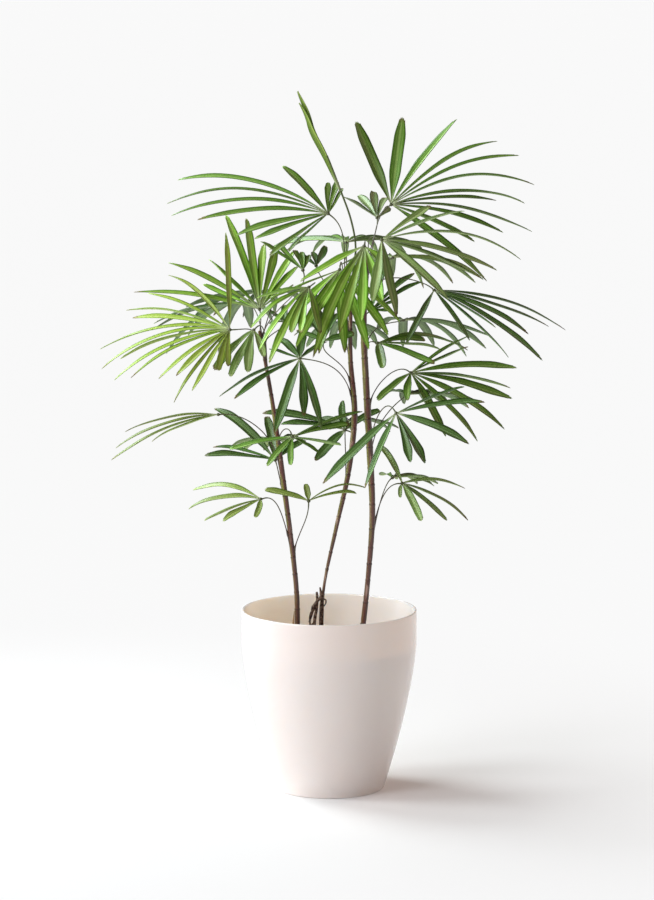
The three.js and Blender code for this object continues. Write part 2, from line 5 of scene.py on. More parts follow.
import bpy
import numpy as np
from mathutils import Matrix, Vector


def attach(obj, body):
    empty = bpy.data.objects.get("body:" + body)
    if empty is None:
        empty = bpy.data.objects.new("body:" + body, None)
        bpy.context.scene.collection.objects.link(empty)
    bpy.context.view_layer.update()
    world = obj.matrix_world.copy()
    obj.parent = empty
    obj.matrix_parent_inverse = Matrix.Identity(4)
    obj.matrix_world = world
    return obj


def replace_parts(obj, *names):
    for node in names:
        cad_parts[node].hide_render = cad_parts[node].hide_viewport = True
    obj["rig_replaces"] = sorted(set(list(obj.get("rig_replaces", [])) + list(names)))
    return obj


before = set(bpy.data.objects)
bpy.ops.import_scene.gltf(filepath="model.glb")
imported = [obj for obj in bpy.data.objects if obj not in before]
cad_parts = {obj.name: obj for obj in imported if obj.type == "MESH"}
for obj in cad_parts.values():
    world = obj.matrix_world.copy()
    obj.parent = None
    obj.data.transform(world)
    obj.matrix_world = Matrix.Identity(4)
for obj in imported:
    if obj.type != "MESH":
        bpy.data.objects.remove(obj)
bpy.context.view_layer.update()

mm = 0.001               # the plant's numbers are in millimetres, Blender's in metres
print("frame loaded")


# camera: at the photograph's height and tilt, six metres in front of the pot
camera = {
    "place": (-4, -6000, 1450),
    "pitch": 8.03,       # degrees down
    "lens": 138.08,
    "sensor": 36,
    "reach": 400,        # metres
}

shot = bpy.data.cameras.new("camera")
shot.lens = camera["lens"]
shot.sensor_width = camera["sensor"]
shot.sensor_fit = "AUTO"
shot.clip_end = camera["reach"]
eye = bpy.data.objects.new("camera", shot)
eye.location = Vector(camera["place"]) * mm
eye.rotation_euler = (math.radians(90 - camera["pitch"]), 0, 0)
bpy.context.scene.collection.objects.link(eye)
bpy.context.scene.camera = eye


# Fields: sockets of a node tree that can be added and multiplied like numbers (the number second)

def plug(socket, value):
    if isinstance(value, Field):
        socket.id_data.links.new(value.socket, socket)
    else:
        socket.default_value = value


class Field:
    def __init__(self, socket):
        self.socket = socket
        self.tree = socket.id_data
        self.isVector = socket.type == "VECTOR"

    def number(self, operation, *others):
        node = self.tree.nodes.new("ShaderNodeMath")
        node.operation = operation
        for socket, value in zip(node.inputs, (self, *others)):
            plug(socket, value)
        return Field(node.outputs[0])

    def vector(self, operation, other=None, scale=None):
        node = self.tree.nodes.new("ShaderNodeVectorMath")
        node.operation = operation
        plug(node.inputs[0], self)
        if other is not None:
            plug(node.inputs[1], other)
        if scale is not None:
            plug(node.inputs["Scale"], scale)
        return Field(node.outputs["Value" if operation in ("DOT_PRODUCT", "LENGTH") else "Vector"])

    def __add__(self, other):
        return self.vector("ADD", other) if self.isVector else self.number("ADD", other)

    def __sub__(self, other):
        return self.vector("SUBTRACT", other) if self.isVector else self.number("SUBTRACT", other)

    def __rsub__(self, other):
        return self.number("MULTIPLY_ADD", -1, other)

    def __mul__(self, other):
        return self.vector("SCALE", scale=other) if self.isVector else self.number("MULTIPLY", other)

    def __pow__(self, other):
        return self.number("POWER", other)

    def least(self, other):
        return self.number("MINIMUM", other)

    def cos(self):
        return self.number("COSINE")

    def sin(self):
        return self.number("SINE")

    def abs(self):
        return self.number("ABSOLUTE")

    def dot(self, other):
        return self.vector("DOT_PRODUCT", other)

    def cross(self, other):
        return self.vector("CROSS_PRODUCT", other)

    def unit(self):
        return self.vector("NORMALIZE")

    def part(self, axis):
        node = self.tree.nodes.new("ShaderNodeSeparateXYZ")
        plug(node.inputs[0], self)
        return Field(node.outputs[axis])


def ramp(value, low, high, start=0.0, end=1.0):
    node = value.tree.nodes.new("ShaderNodeMapRange")
    node.interpolation_type = "SMOOTHSTEP"
    labels = ("Value", "From Min", "From Max", "To Min", "To Max")
    for label, number in zip(labels, (value, low, high, start, end)):
        plug(node.inputs[label], number)
    return Field(node.outputs["Result"])


def noiseAt(place, scale, detail=2.0, roughness=0.5):
    node = place.tree.nodes.new("ShaderNodeTexNoise")
    plug(node.inputs["Vector"], place)
    plug(node.inputs["Scale"], scale)
    plug(node.inputs["Detail"], detail)
    plug(node.inputs["Roughness"], roughness)
    return Field(node.outputs[0])


# Geometry Nodes trees and the plain meshes they leave behind

def newTree(name, sizes):
    tree = bpy.data.node_groups.new(name, "GeometryNodeTree")
    tree.interface.new_socket("Geometry", in_out="INPUT", socket_type="NodeSocketGeometry")
    tree.interface.new_socket("Geometry", in_out="OUTPUT", socket_type="NodeSocketGeometry")
    kinds = {int: "NodeSocketInt", float: "NodeSocketFloat", type(None): "NodeSocketMaterial"}
    for label, value in dict(sizes, Material=None).items():
        socket = tree.interface.new_socket(label, in_out="INPUT", socket_type=kinds[type(value)])
        if value is not None:
            socket.default_value = value
    given = tree.nodes.new("NodeGroupInput")
    result = tree.nodes.new("NodeGroupOutput")
    return tree, {socket.name: Field(socket) for socket in given.outputs if socket.name}, result


def step(tree, kind, settings=None, **inputs):
    node = tree.nodes.new(kind)
    for label, value in (settings or {}).items():
        setattr(node, label, value)
    for label, value in inputs.items():
        plug(node.inputs[label.replace("_", " ")], value)
    return Field(node.outputs[0])


def stored(tree, geometry, label, value, kind="FLOAT"):
    return step(tree, "GeometryNodeStoreNamedAttribute", {"data_type": kind, "domain": "POINT"},
                Geometry=geometry, Name=label, Value=value)


def named(tree, label, kind="FLOAT"):
    return step(tree, "GeometryNodeInputNamedAttribute", {"data_type": kind}, Name=label)


def closed(tree, given, result, geometry):      # every tree ends with its material
    finished = step(tree, "GeometryNodeSetMaterial", Geometry=geometry, Material=given["Material"])
    tree.links.new(finished.socket, result.inputs[0])
    return tree


def grown(thing, tree, values):
    modifier = thing.modifiers.new(tree.name, "NODES")
    modifier.node_group = tree
    for socket in tree.interface.items_tree:
        if socket.in_out == "INPUT" and socket.name in values:
            modifier[socket.identifier] = values[socket.name]
    depsgraph = bpy.context.evaluated_depsgraph_get()
    mesh = bpy.data.meshes.new_from_object(
        thing.evaluated_get(depsgraph), preserve_all_data_layers=True, depsgraph=depsgraph)
    thing.modifiers.clear()
    start = thing.data
    thing.data = mesh
    bpy.data.meshes.remove(start)
    mesh.name = thing.name
    return thing


def meshThing(name, corners, edges=(), faces=()):
    mesh = bpy.data.meshes.new(name)
    mesh.from_pydata(*([tuple(item) for item in items] for items in (corners, edges, faces)))
    mesh.update()
    thing = bpy.data.objects.new(name, mesh)
    bpy.context.scene.collection.objects.link(thing)
    return thing


def putAttribute(thing, label, values):
    values = np.asarray(values, dtype=np.float32)
    kind = "FLOAT_VECTOR" if values.ndim == 2 else "FLOAT"
    layer = thing.data.attributes.new(label, kind, "POINT")
    layer.data.foreach_set("vector" if values.ndim == 2 else "value", values.ravel())


def paint(thing, *materials):
    thing.data.materials.clear()
    for material in materials:
        thing.data.materials.append(material)


# Materials

def newMaterial(name, roughness, gloss=0.5, **finish):
    material = bpy.data.materials.new(name)
    material.use_nodes = True
    shader = material.node_tree.nodes["Principled BSDF"]
    for label, value in dict(finish, Roughness=roughness, Specular_IOR_Level=gloss).items():
        shader.inputs[label.replace("_", " ")].default_value = value
    return material, material.node_tree, shader


def linear(*levels):      # from the 0 to 255 levels of a screen to a shader's colour
    shares = [level / 255 for level in levels]
    return tuple(s / 12.92 if s <= 0.04045 else ((s + 0.055) / 1.055) ** 2.4 for s in shares) + (1.0,)


def blendColour(tree, share, first, second):
    node = tree.nodes.new("ShaderNodeMix")
    node.data_type = "RGBA"
    sockets = {socket.identifier: socket for socket in (*node.inputs, *node.outputs)}
    for label, value in zip(("Factor_Float", "A_Color", "B_Color"), (share, first, second)):
        plug(sockets[label], value)
    return Field(sockets["Result_Color"])


def layered(tree, base, *layers):      # colours laid over a base, each by its own share
    for share, colour in layers:
        base = blendColour(tree, share, base, colour)
    return base


def objectPlace(tree):
    node = tree.nodes.new("ShaderNodeTexCoord")
    return Field(node.outputs["Object"])


def shaderAttribute(tree, label, output="Fac"):
    node = tree.nodes.new("ShaderNodeAttribute")
    node.attribute_name = label
    return Field(node.outputs[output])


def bump(tree, shader, height, depth, strength=1.0):
    node = tree.nodes.new("ShaderNodeBump")
    node.inputs["Distance"].default_value = depth
    node.inputs["Strength"].default_value = strength
    plug(node.inputs["Height"], height)
    plug(shader.inputs["Normal"], Field(node.outputs[0]))


# The growing rule: the same sizes, table, seed and order of trials as the solids have

potSizes = {
    "height": 320, "rimRadius": 154.5, "footRadius": 97, "straightFrom": 264, "drawIn": 1.45,
    "wall": 4, "floor": 8, "footEdge": 3, "soilLevel": 258, "soilGap": 1.5,
}
plantFoot = potSizes["soilLevel"] + 0.3

canes = {
    "left": dict(top=815, x=[-56, -57.5, -67, -79, -91, -105, -122], y=[-12, -12, -10, -8, -6, -6, -8],
                 radius=[5, 4.6, 4.6, 5, 4.4, 3.6, 3]),
    "middle": dict(top=868, x=[-17, -9, 12, 34, 44.5, 37, 38], y=[10, 12, 14, 16, 20, 24, 22],
                   radius=[4, 2.6, 3.8, 4.9, 5.4, 4.4, 3.2]),
    "right": dict(top=948, x=[56, 68, 75.5, 71, 64.5, 60, 67], y=[-6, -8, -12, -14, -14, -12, -10],
                  radius=[5.4, 4.6, 5.4, 6.2, 6, 5.6, 4.2]),
}
stubLimbs = [
    dict(path=[(-27, -6, 258.3), (-26, -4, 300), (-21.5, 2, 332), (-22, 3, 350)], radii=[3.4, 3, 2.6, 2]),
    dict(path=[(-24, -2, 322), (-33, -5, 312), (-34, -7, 290)], radii=[2, 2, 1.6]),
    dict(path=[(-26, -4, 296), (-32, -10, 292), (-34, -12, 278)], radii=[1.8, 1.8, 1.4]),
]
spearPath = [
    (38, 22, 868.3), (42, 20, 915), (46, 18, 960), (38, 16, 1006), (20, 12, 1057), (-5, 6, 1121),
    (-25, 0, 1164), (-35, -2, 1195), (-54, -6, 1231),
]

rule = {
    "leafletWidth": 17, "stations": (0.34, 0.74), "widthShares": (0.12, 0.92, 1), "sectorShare": 0.85,
    "hubRadius": 7, "hubSteps": 8, "edgeShortening": 0.2, "lengthJitter": 0.03, "upTurn": 0.7,
    "twistRange": 0.4, "stalkRise": 0.4, "stalkSpread": 0.12, "stalkArrival": 0.3, "seatGap": 0.3,
    "caneSides": 8, "caneRings": 20, "ringBulge": 0.5, "tension": 0.5, "clearance": 8, "stalkRoom": 4.5,
    "hubRoom": 21, "pitch": 5, "pointShares": (-1, -0.33, 0.33, 1),
    "footShifts": (0, 10, -10, 20, -20, 30, -30, 40, -40), "shifts": (0, 0.12, -0.12, 0.25, -0.25),
    "lifts": (0, 0.12, -0.12, 0.25, -0.25), "shortenings": (1, 0.8, 0.6), "seed": 20417,
}
up = Vector((0, 0, 1))


def fan(middle, spread, count):      # a regular fan, its outer leaflets shorter
    shares = [2 * index / (count - 1) - 1 for index in range(count)]
    return [(middle + spread * share / 2, 1 - rule["edgeShortening"] * share ** 2) for share in shares]


frondColumns = "cane", "foot", "hub", "faces", "length", "droop", "tone", "leaflets"
# faces is a turn and a rise in degrees, droop is for leaflets that point up and down in the fan's plane,
# and a leaflet is a bearing with a share of the length, or a bearing alone
# a frond's tone picks its leaf colours; the darkest of them is partly painted shade
frondTable = [dict(zip(frondColumns, row)) for row in (
    ("middle", 850, (-2, 10, 1018), (0, 20), 440, (0.8, 0.9), "mid",
     [(-133, 0.22), (-124, 0.28), (-105, 0.3), (-95, 0.36), (-79, 0.52), (-69, 0.68), (-62, 0.76),
      (-57, 0.72), (-40, 0.28), (0, 0.13), (15, 0.14), (30, 0.12)]),
    ("left", 800, (-122, 15, 850), (0, 38), 230, (0.12, 0.12), "bright",
     [-71, (-61, 0.5), (-53, 0.9), (-39, 0.63), -16, (-7, 0.93), (3, 0.63), (12, 0.6), (25, 0.62),
      (35, 0.5), (47, 0.35)]),
    ("left", 806, (-172, -60, 822), (0, 50), 208, (0.1, 0.6), "fresh",
     [(-179, 0.38), (-168, 0.42), (-152, 0.63), (-142, 0.73), (-133, 0.6), (-122, 0.7), (-102, 0.85),
      (-94, 0.96), (-87, 0.95), (-79, 1.1), (-72, 1.2), (-64, 0.94), (-57, 1.07), (-48, 0.93),
      (-24, 1.12), (-5, 1.18)]),
    ("left", 780, (-35, -115, 901), (0, 62), 150, (0.2, 0.5), "bright",
     [(-173, 0.7), (-163, 0.7), (-153, 0.97), (-142, 0.95), (-122, 0.8), (-95, 0.6), (170, 0.7)]),
    ("right", 925, (90, -90, 980), (0, 40), 340, (0.7, 0.5), "pale",
     [(45, 0.36), (57, 0.5), (69, 0.76), (93, 0.58), (105, 0.52), (134, 0.47), (171, 0.45),
      (-172, 0.35)]),
    ("right", 905, (60, -62, 967), (0, 48), 200, (0.12, 0.2), "bright",
     [(-123, 0.65), (-144, 0.75), (-155, 1.05), (-166, 0.9), (-178, 0.8), (165, 0.6), (138, 0.3)]),
    ("right", 940, (108, 20, 1033), (0, 25), 360, (0.7, 0.4), "mid",
     [(-20, 0.49), (7, 0.47), (32, 0.62), (44, 0.77), (50, 0.86), (57, 0.86), (69, 0.7), (77, 0.54),
      (84, 0.7), (93, 0.54), (110, 0.42), (125, 0.55)]),
    ("right", 930, (84, 60, 1007), (0, 60), 100, (0.1, 0.1), "grey",
     [(-36, 0.96), (-20, 0.92), (-3, 1.04), (12, 0.76), (32, 0.44)]),
    ("right", 880, (182, -30, 888), (0, 60), 240, (0.2, 0.3), "deep",
     [(92, 0.97), (103, 0.83), (113, 0.75), (122, 0.9), (131, 0.57), (139, 0.78), (155, 0.57),
      (-159, 0.58)]),
    ("right", 760, (84, -60, 799), (0, 60), 175, (0.3, 0.3), "mid",
     [(58, 1.1), (72, 0.5), (86, 0.64), (112, 0.6), (173, 0.4)]),
    ("right", 690, (143, 10, 739), (0, 52), 190, (0.12, 0.12), "mid",
     [(43, 0.8), (54, 0.66), 75, (90, 0.9), (102, 0.95), 121, (140, 0.93), (158, 0.82), (-174, 0.34),
      (-137, 0.46)]),
    ("right", 620, (115, -110, 683), (-25, 35), 170, (0.1, 0.1), "deep",
     [(57, 0.78), (71, 0.97), (101, 0.87), (139, 0.68), (151, 0.6), (-171, 0.85), -141]),
    ("right", 480, (128, -10, 546), (0, 50), 130, (0.3, 0.3), "pale",
     [-17, (73, 0.9), (107, 0.92), (130, 0.8), (157, 0.65), (-174, 0.25)]),
    ("left", 622, (-64, -60, 635), (0, 30), 175, (0.15, 0.15), "mid",
     [61, (72, 0.6), (98, 0.5), (120, 0.3), (-98, 0.62), (-140, 0.4), (-178, 0.3)]),
    ("left", 430, (-36, -38, 519), (0, 25), 131, (0.32, 0.32), "olive",
     [(-62, 0.65), (-10, 0.25), 54, (65, 0.9)]),
    ("left", 455, (-120, -30, 521), (0, 50), 150, (0.4, 0.4), "olive",
     [(-49, 1.09), (-74, 0.9), (-105, 0.67), (-119, 0.51), (-167, 0.27)]),
    ("left", 590, (-194, -20, 669), (0, 60), 185, (0.3, 0.3), "olive",
     [(-82, 0.91), -91, (-100, 1.02), (-110, 0.67)]),
    ("left", 545, (-95, 5, 585), (0, 45), 140, (0.12, 0.12), "deep",
     [(-77, 0.9), (-66, 0.85), (-34, 1.45), (-9, 0.77), (30, 0.5), (47, 0.51)]),
    ("middle", 700, (-51, -40, 770), (0, 60), 175, (0.15, 0.3), "deep",
     [(-57, 0.46), (-71, 0.64), (-112, 0.89), (-124, 0.8), (-165, 0.94), (177, 0.75), (166, 0.9),
      (-28, 0.42), (5, 0.45), (38, 0.42)]),
    ("middle", 725, (-10, -20, 798), (0, 45), 90, (0.15, 0.15), "deep",
     [(-58, 0.62), (-24, 0.76), (-8, 0.98), (9, 0.98), (24, 0.84), (67, 0.67)]),
    ("left", 790, (-79, 10, 828), (0, 60), 60, (0.1, 0.1), "deep", fan(0, 150, 5)),
    ("left", 785, (-46, 0, 920), (0, 40), 105, (0.1, 0.1), "mid",
     [-47, (-37, 0.7), (-19, 0.45), (-4, 0.4), (20, 0.35)]),
    ("middle", 820, (-23, 30, 925), (0, 55), 80, (0.1, 0.1), "deep",
     [(-39, 0.6), (-10, 0.5), (16, 0.75)]),
    ("right", 800, (74, 110, 838), (0, 50), 140, (0.15, 0.15), "deep",
     [10, 34, (45, 0.9), (58, 0.4), (85, 0.26)]),
    ("middle", 560, (28, 60, 631), (0, 30), 165, (0.2, 0.2), "deep",
     [-65, (-76, 0.7), (-137, 0.47), (165, 0.53), (54, 0.48), (-5, 0.35)]),
    ("middle", 800, (18, -45, 925), (0, 40), 165, (0.2, 0.2), "bright", fan(185, 110, 8)),
    ("left", 720, (-131, -45, 820), (-15, 50), 90, (0.3, 0.3), "pale",
     [-95, -118, -140, -165, (175, 0.9), (150, 0.7)]),
    ("middle", 845, (30, 100, 960), (0, 80), 250, (0.35, 0.35), "mid", fan(0, 90, 7)),
    ("right", 900, (112, 80, 935), (0, 85), 240, (0.35, 0.35), "mid", fan(15, 90, 7)),
    ("left", 795, (-100, 75, 872), (0, 85), 230, (0.35, 0.35), "deep", fan(-15, 90, 7)),
    ("right", 780, (132, 100, 822), (0, 88), 220, (0.35, 0.35), "deep", fan(25, 80, 6)),
    ("left", 740, (-150, 120, 850), (0, 90), 220, (0.35, 0.35), "deep", fan(-30, 90, 7)),
    ("middle", 740, (25, 130, 812), (0, 88), 200, (0.35, 0.35), "deep", fan(0, 70, 6)),
    ("right", 600, (140, 90, 690), (0, 85), 190, (0.3, 0.3), "deep", fan(20, 70, 6)),
    ("left", 540, (-90, 90, 606), (0, 85), 170, (0.3, 0.3), "mid", fan(-10, 60, 5)),
    ("middle", 520, (32, 100, 640), (0, 85), 170, (0.3, 0.3), "deep", fan(10, 70, 6)),
    ("right", 430, (112, 60, 545), (0, 85), 140, (0.3, 0.3), "mid", fan(20, 60, 5)),
)]


def lerp(first, second, share):
    return first + (second - first) * share


def heights(start, end, count):
    return [start + (end - start) * index / count for index in range(count + 1)]


def through(points, share, tension=None):     # a smooth line through points; centripetal without a tension
    spans = len(points) - 1
    index = min(int(share * spans), spans - 1)
    weight = share * spans - index
    one, two = points[index], points[index + 1]
    zero = points[index - 1] if index else one * 2 - two
    three = points[index + 2] if index + 2 <= spans else two * 2 - one
    if tension is None:
        gaps = [(b - a).length ** 0.5 for a, b in ((zero, one), (one, two), (two, three))]
        before, own, after = gaps
        leave = ((one - zero) / before - (two - zero) / (before + own) + (two - one) / own) * own
        arrive = ((two - one) / own - (three - one) / (own + after) + (three - two) / after) * own
    else:
        leave, arrive = (two - zero) * tension, (three - one) * tension
    return (one + leave * weight + (two * 3 - one * 3 - leave * 2 - arrive) * weight ** 2
            + (one * 2 - two * 2 + leave + arrive) * weight ** 3)


def bezier(corners, share):
    one, two, three, four = corners
    rest = 1 - share
    return (one * rest ** 3 + two * (3 * rest ** 2 * share) + three * (3 * rest * share ** 2)
            + four * share ** 3)


def spaced(line, pitch, trials=200):      # points at even distances along a line
    marks = [line(share) for share in heights(0, 1, trials)]
    lengths = [0.0]
    for before, after in zip(marks, marks[1:]):
        lengths.append(lengths[-1] + (after - before).length)
    count = math.ceil(lengths[-1] / pitch)
    shares = np.interp(np.linspace(0, lengths[-1], count + 1), lengths, np.linspace(0, 1, trials + 1))
    return [line(float(share)) for share in shares]


def caneAt(cane, z):
    share = min(max((z - plantFoot) / (cane["top"] - plantFoot), 0), 1)
    place = through(cane["line"], share, rule["tension"])
    place.z = z
    station = share * (len(cane["radius"]) - 1)
    below = min(int(station), len(cane["radius"]) - 2)
    return place, lerp(cane["radius"][below], cane["radius"][below + 1], station - below)


def caneRing(cane, z, bulge):
    place, radius = caneAt(cane, z)
    turns = [2 * math.pi * side / rule["caneSides"] for side in range(rule["caneSides"])]
    return [place + Vector((math.cos(turn), math.sin(turn), 0)) * (radius + bulge) for turn in turns]


def flankAt(cane, z, toward):        # the flat side of the cane that looks most nearly the given way
    ring = (z - plantFoot) / (cane["top"] - plantFoot) * rule["caneRings"]
    below = min(int(ring), rule["caneRings"] - 1)
    corners = [a.lerp(b, ring - below) for a, b in zip(cane["rings"][below], cane["rings"][below + 1])]
    best = None
    for side, corner in enumerate(corners):
        middle = corner.lerp(corners[(side + 1) % len(corners)], 0.5)
        outward = middle - caneAt(cane, z)[0]
        outward.z = 0
        outward.normalize()
        if best is None or outward.dot(toward) > best[1].dot(toward):
            best = middle, outward
    return best


cells = {}


def cellOf(point):
    return tuple(math.floor(value / rule["clearance"]) for value in point)


def markTaken(points, owner):
    for point in points:
        cells.setdefault(cellOf(point), []).append((point, owner))


def isFree(point, room, owners):
    for cell in itertools.product(*((index - 1, index, index + 1) for index in cellOf(point))):
        for other, owner in cells.get(cell, ()):
            if owner not in owners and (other - point).length < room:
                return False
    return True


def bearingLine(frond, bearing):
    turn = math.radians(bearing)
    return frond["slope"] * math.cos(turn) + frond["level"] * math.sin(turn)


def orderLeaflets(leaflets):
    pairs = [leaflet if isinstance(leaflet, tuple) else (leaflet, 1) for leaflet in leaflets]
    pairs = sorted((((bearing + 720) % 360, share) for bearing, share in pairs), key=lambda pair: pair[0])
    count = len(pairs)
    gaps = [(pairs[(i + 1) % count][0] - pairs[i][0] + 360) % 360 for i in range(count)]
    widest = gaps.index(max(gaps))
    inOrder = [pairs[(widest + 1 + i) % count] for i in range(count)]
    start = inOrder[0][0]
    bearings = [start + (bearing - start + 360) % 360 for bearing, _ in inOrder]
    after = [b - a for a, b in zip(bearings, bearings[1:])] + [bearings[-1] - bearings[-2]]
    sectors = [min(gap, after[i - 1] if i else gap) for i, gap in enumerate(after)]
    return dict(bearings=bearings, shares=[share for _, share in inOrder], sectors=sectors,
                stalkBearing=start - gaps[widest] / 2)


def leafletAt(leaflet, t):
    scale = leaflet["length"] / (1 + leaflet["droop"] ** 2 / 6)
    place = leaflet["hub"] + leaflet["out"] * (scale * t)
    place.z -= scale * leaflet["droop"] * t ** 2
    return place


def widthShareAt(t):
    near, far = rule["stations"]
    root, lower, upper = rule["widthShares"]
    if t < near:
        return lerp(root, lower, t / near)
    if t < far:
        return lerp(lower, upper, (t - near) / (far - near))
    return lerp(upper, 0, (t - far) / (1 - far))


def leafletPoints(leaflet):
    points = []
    count = math.ceil(leaflet["length"] / rule["pitch"])
    for t in heights(rule["hubRadius"] * 2 / leaflet["length"], 1, count):
        sectorWidth = rule["sectorShare"] * leaflet["length"] * t * leaflet["sector"]
        half = min(rule["leafletWidth"] * widthShareAt(t), sectorWidth) / 2
        centre = leafletAt(leaflet, t)
        points += [centre + leaflet["across"] * (half * share) for share in rule["pointShares"]]
    return points


def settleLeaflet(frond, index, length, twist):
    bearing, sector = frond["bearings"][index], frond["sectors"][index]
    for shortening, lift, shift in itertools.product(rule["shortenings"], rule["lifts"], rule["shifts"]):
        out = bearingLine(frond, bearing + shift * sector)
        level = out.cross(frond["lie"]).normalized()
        droop = lerp(*frond["droop"], (1 - math.cos(math.radians(bearing))) / 2)
        leaflet = dict(
            hub=frond["hub"], out=out, frond=frond,
            across=level * math.cos(twist) + level.cross(out) * math.sin(twist),
            droop=(droop * (length / frond["length"]) ** 2 + lift) * (1 - out.z ** 2),
            length=length * shortening,
            sector=math.radians(sector) * (1 - 2 * abs(shift)),
        )
        points = leafletPoints(leaflet)
        if all(isFree(point, rule["clearance"], (frond["name"],)) for point in points):
            markTaken(points, frond["name"])
            return leaflet
    return None


def stalkFrom(frond, foot):
    cane = canes[frond["cane"]]
    toward = frond["hub"] - caneAt(cane, foot)[0]
    toward.z = 0
    middle, outward = flankAt(cane, foot, toward.normalized())
    back = bearingLine(frond, frond["stalkBearing"])
    start = middle + outward * rule["seatGap"]
    end = frond["hub"] + back * rule["hubRadius"]
    reach = (end - start).length
    leave = start + up * (reach * rule["stalkRise"]) + outward * (reach * rule["stalkSpread"])
    return dict(corners=(start, leave, end + back * (reach * rule["stalkArrival"]), end),
                foot=foot, outward=outward, cane=cane)


def settleStalk(frond):
    for shift in rule["footShifts"]:
        if frond["foot"] + shift >= canes[frond["cane"]]["top"]:
            continue
        stalk = stalkFrom(frond, frond["foot"] + shift)
        points = spaced(lambda share: bezier(stalk["corners"], share), rule["pitch"])
        if all(isFree(point, rule["stalkRoom"], (frond["cane"], frond["name"])) for point in points):
            for point in points:
                near = (point - frond["hub"]).length < rule["hubRoom"]
                markTaken([point], frond["name"] if near else frond["name"] + " stalk")
            return stalk
    return None


def grow():
    for name, cane in canes.items():
        levels = heights(plantFoot, cane["top"], len(cane["x"]) - 1)
        cane["line"] = [Vector(place) for place in zip(cane["x"], cane["y"], levels)]
        rings = heights(plantFoot, cane["top"], rule["caneRings"])
        cane["rings"] = [caneRing(cane, z, rule["ringBulge"] * (i % 2)) for i, z in enumerate(rings)]
        for z in heights(plantFoot, cane["top"], math.ceil((cane["top"] - plantFoot) / rule["pitch"])):
            markTaken(caneRing(cane, z, 0), name)
    spearLine = [Vector(place) for place in spearPath]
    markTaken(spaced(lambda share: through(spearLine, share), rule["pitch"]), "spear")

    counts = dict.fromkeys(canes, 0)
    for frond in frondTable:
        counts[frond["cane"]] += 1
        azimuth, rise = (math.radians(angle) for angle in frond["faces"])
        frond["name"] = f"frond_{frond['cane']}_{counts[frond['cane']]}"
        frond["hub"] = Vector(frond["hub"])
        frond["faces"] = Vector((math.sin(azimuth) * math.cos(rise), -math.cos(azimuth) * math.cos(rise),
                                 math.sin(rise)))
        frond["level"] = Vector((math.cos(azimuth), math.sin(azimuth), 0))
        frond["slope"] = frond["faces"].cross(frond["level"])
        frond["lie"] = frond["faces"].lerp(up, rule["upTurn"])
        frond.update(orderLeaflets(frond["leaflets"]))
        edge = [frond["hub"] + bearingLine(frond, bearing) * rule["hubRadius"]
                for bearing in heights(0, 360, rule["hubSteps"])]
        markTaken([frond["hub"], *edge], frond["name"])
    for frond in frondTable:
        frond["stalk"] = settleStalk(frond)

    seed = rule["seed"]
    found = []
    for frond in frondTable:
        for index, share in enumerate(frond["shares"]):
            draws = []
            for _ in range(2):
                seed = (seed * 1664525 + 1013904223) % 2 ** 32
                draws.append(seed / 2147483648 - 1)
            length = frond["length"] * share * (1 + rule["lengthJitter"] * draws[0])
            found.append(settleLeaflet(frond, index, length, rule["twistRange"] * draws[1]))
    return [leaflet for leaflet in found if leaflet]


leaflets = grow()
print("plant grown:", len(frondTable), "fronds,", len(leaflets), "leaflets")


# Pot: a turned shell with a rounded rim and foot

def potRadius(z):
    below = max(potSizes["straightFrom"] - z, 0) / potSizes["straightFrom"]
    rim, foot = potSizes["rimRadius"], potSizes["footRadius"]
    return rim - (rim - foot) * below ** potSizes["drawIn"]


def arc(centre, radius, start, end, count):
    turns = [math.radians(lerp(start, end, index / count)) for index in range(count + 1)]
    return [(centre[0] + radius * math.cos(turn), centre[1] + radius * math.sin(turn)) for turn in turns]


def turned(name, profile, sides):     # a lathed body from (radius, z) pairs, the first and last on the axis
    corners = [(0, 0, profile[0][1] * mm)]
    for radius, z in profile[1:-1]:
        for side in range(sides):
            turn = 2 * math.pi * side / sides
            corners.append((radius * math.cos(turn) * mm, radius * math.sin(turn) * mm, z * mm))
    corners.append((0, 0, profile[-1][1] * mm))
    last = len(corners) - 1
    rings = len(profile) - 2
    faces = []
    for side in range(sides):
        after = (side + 1) % sides
        faces.append((0, 1 + after, 1 + side))
        for ring in range(rings - 1):
            a, b = 1 + ring * sides + side, 1 + ring * sides + after
            faces.append((a, b, b + sides, a + sides))
        faces.append((last, last - sides + side, last - sides + after))
    return meshThing(name, corners, faces=faces)


potLook = {
    "sides": 144,
    "colour": linear(237, 222, 215),
    # painted light: the inner wall's colour is paler than the outside's, to brighten the inside of the pot
    "inside": linear(252, 229, 220),
    "finish": dict(Coat_Weight=0.3, Coat_Roughness=0.08, Subsurface_Radius=(1.0, 0.82, 0.68)),
    "roughness": 0.22,
    "glow": (0.5, 0.009),    # share of the light that spreads inside the thin wall, and how far in metres
    "glowInside": (0.95, 0.015),
    "waver": (9, 2),         # scale and detail of the noise
    "waverBump": (0.0012, 0.12),
    "rings": dict(foot=5, outside=26, rim=10, inside=16),
}


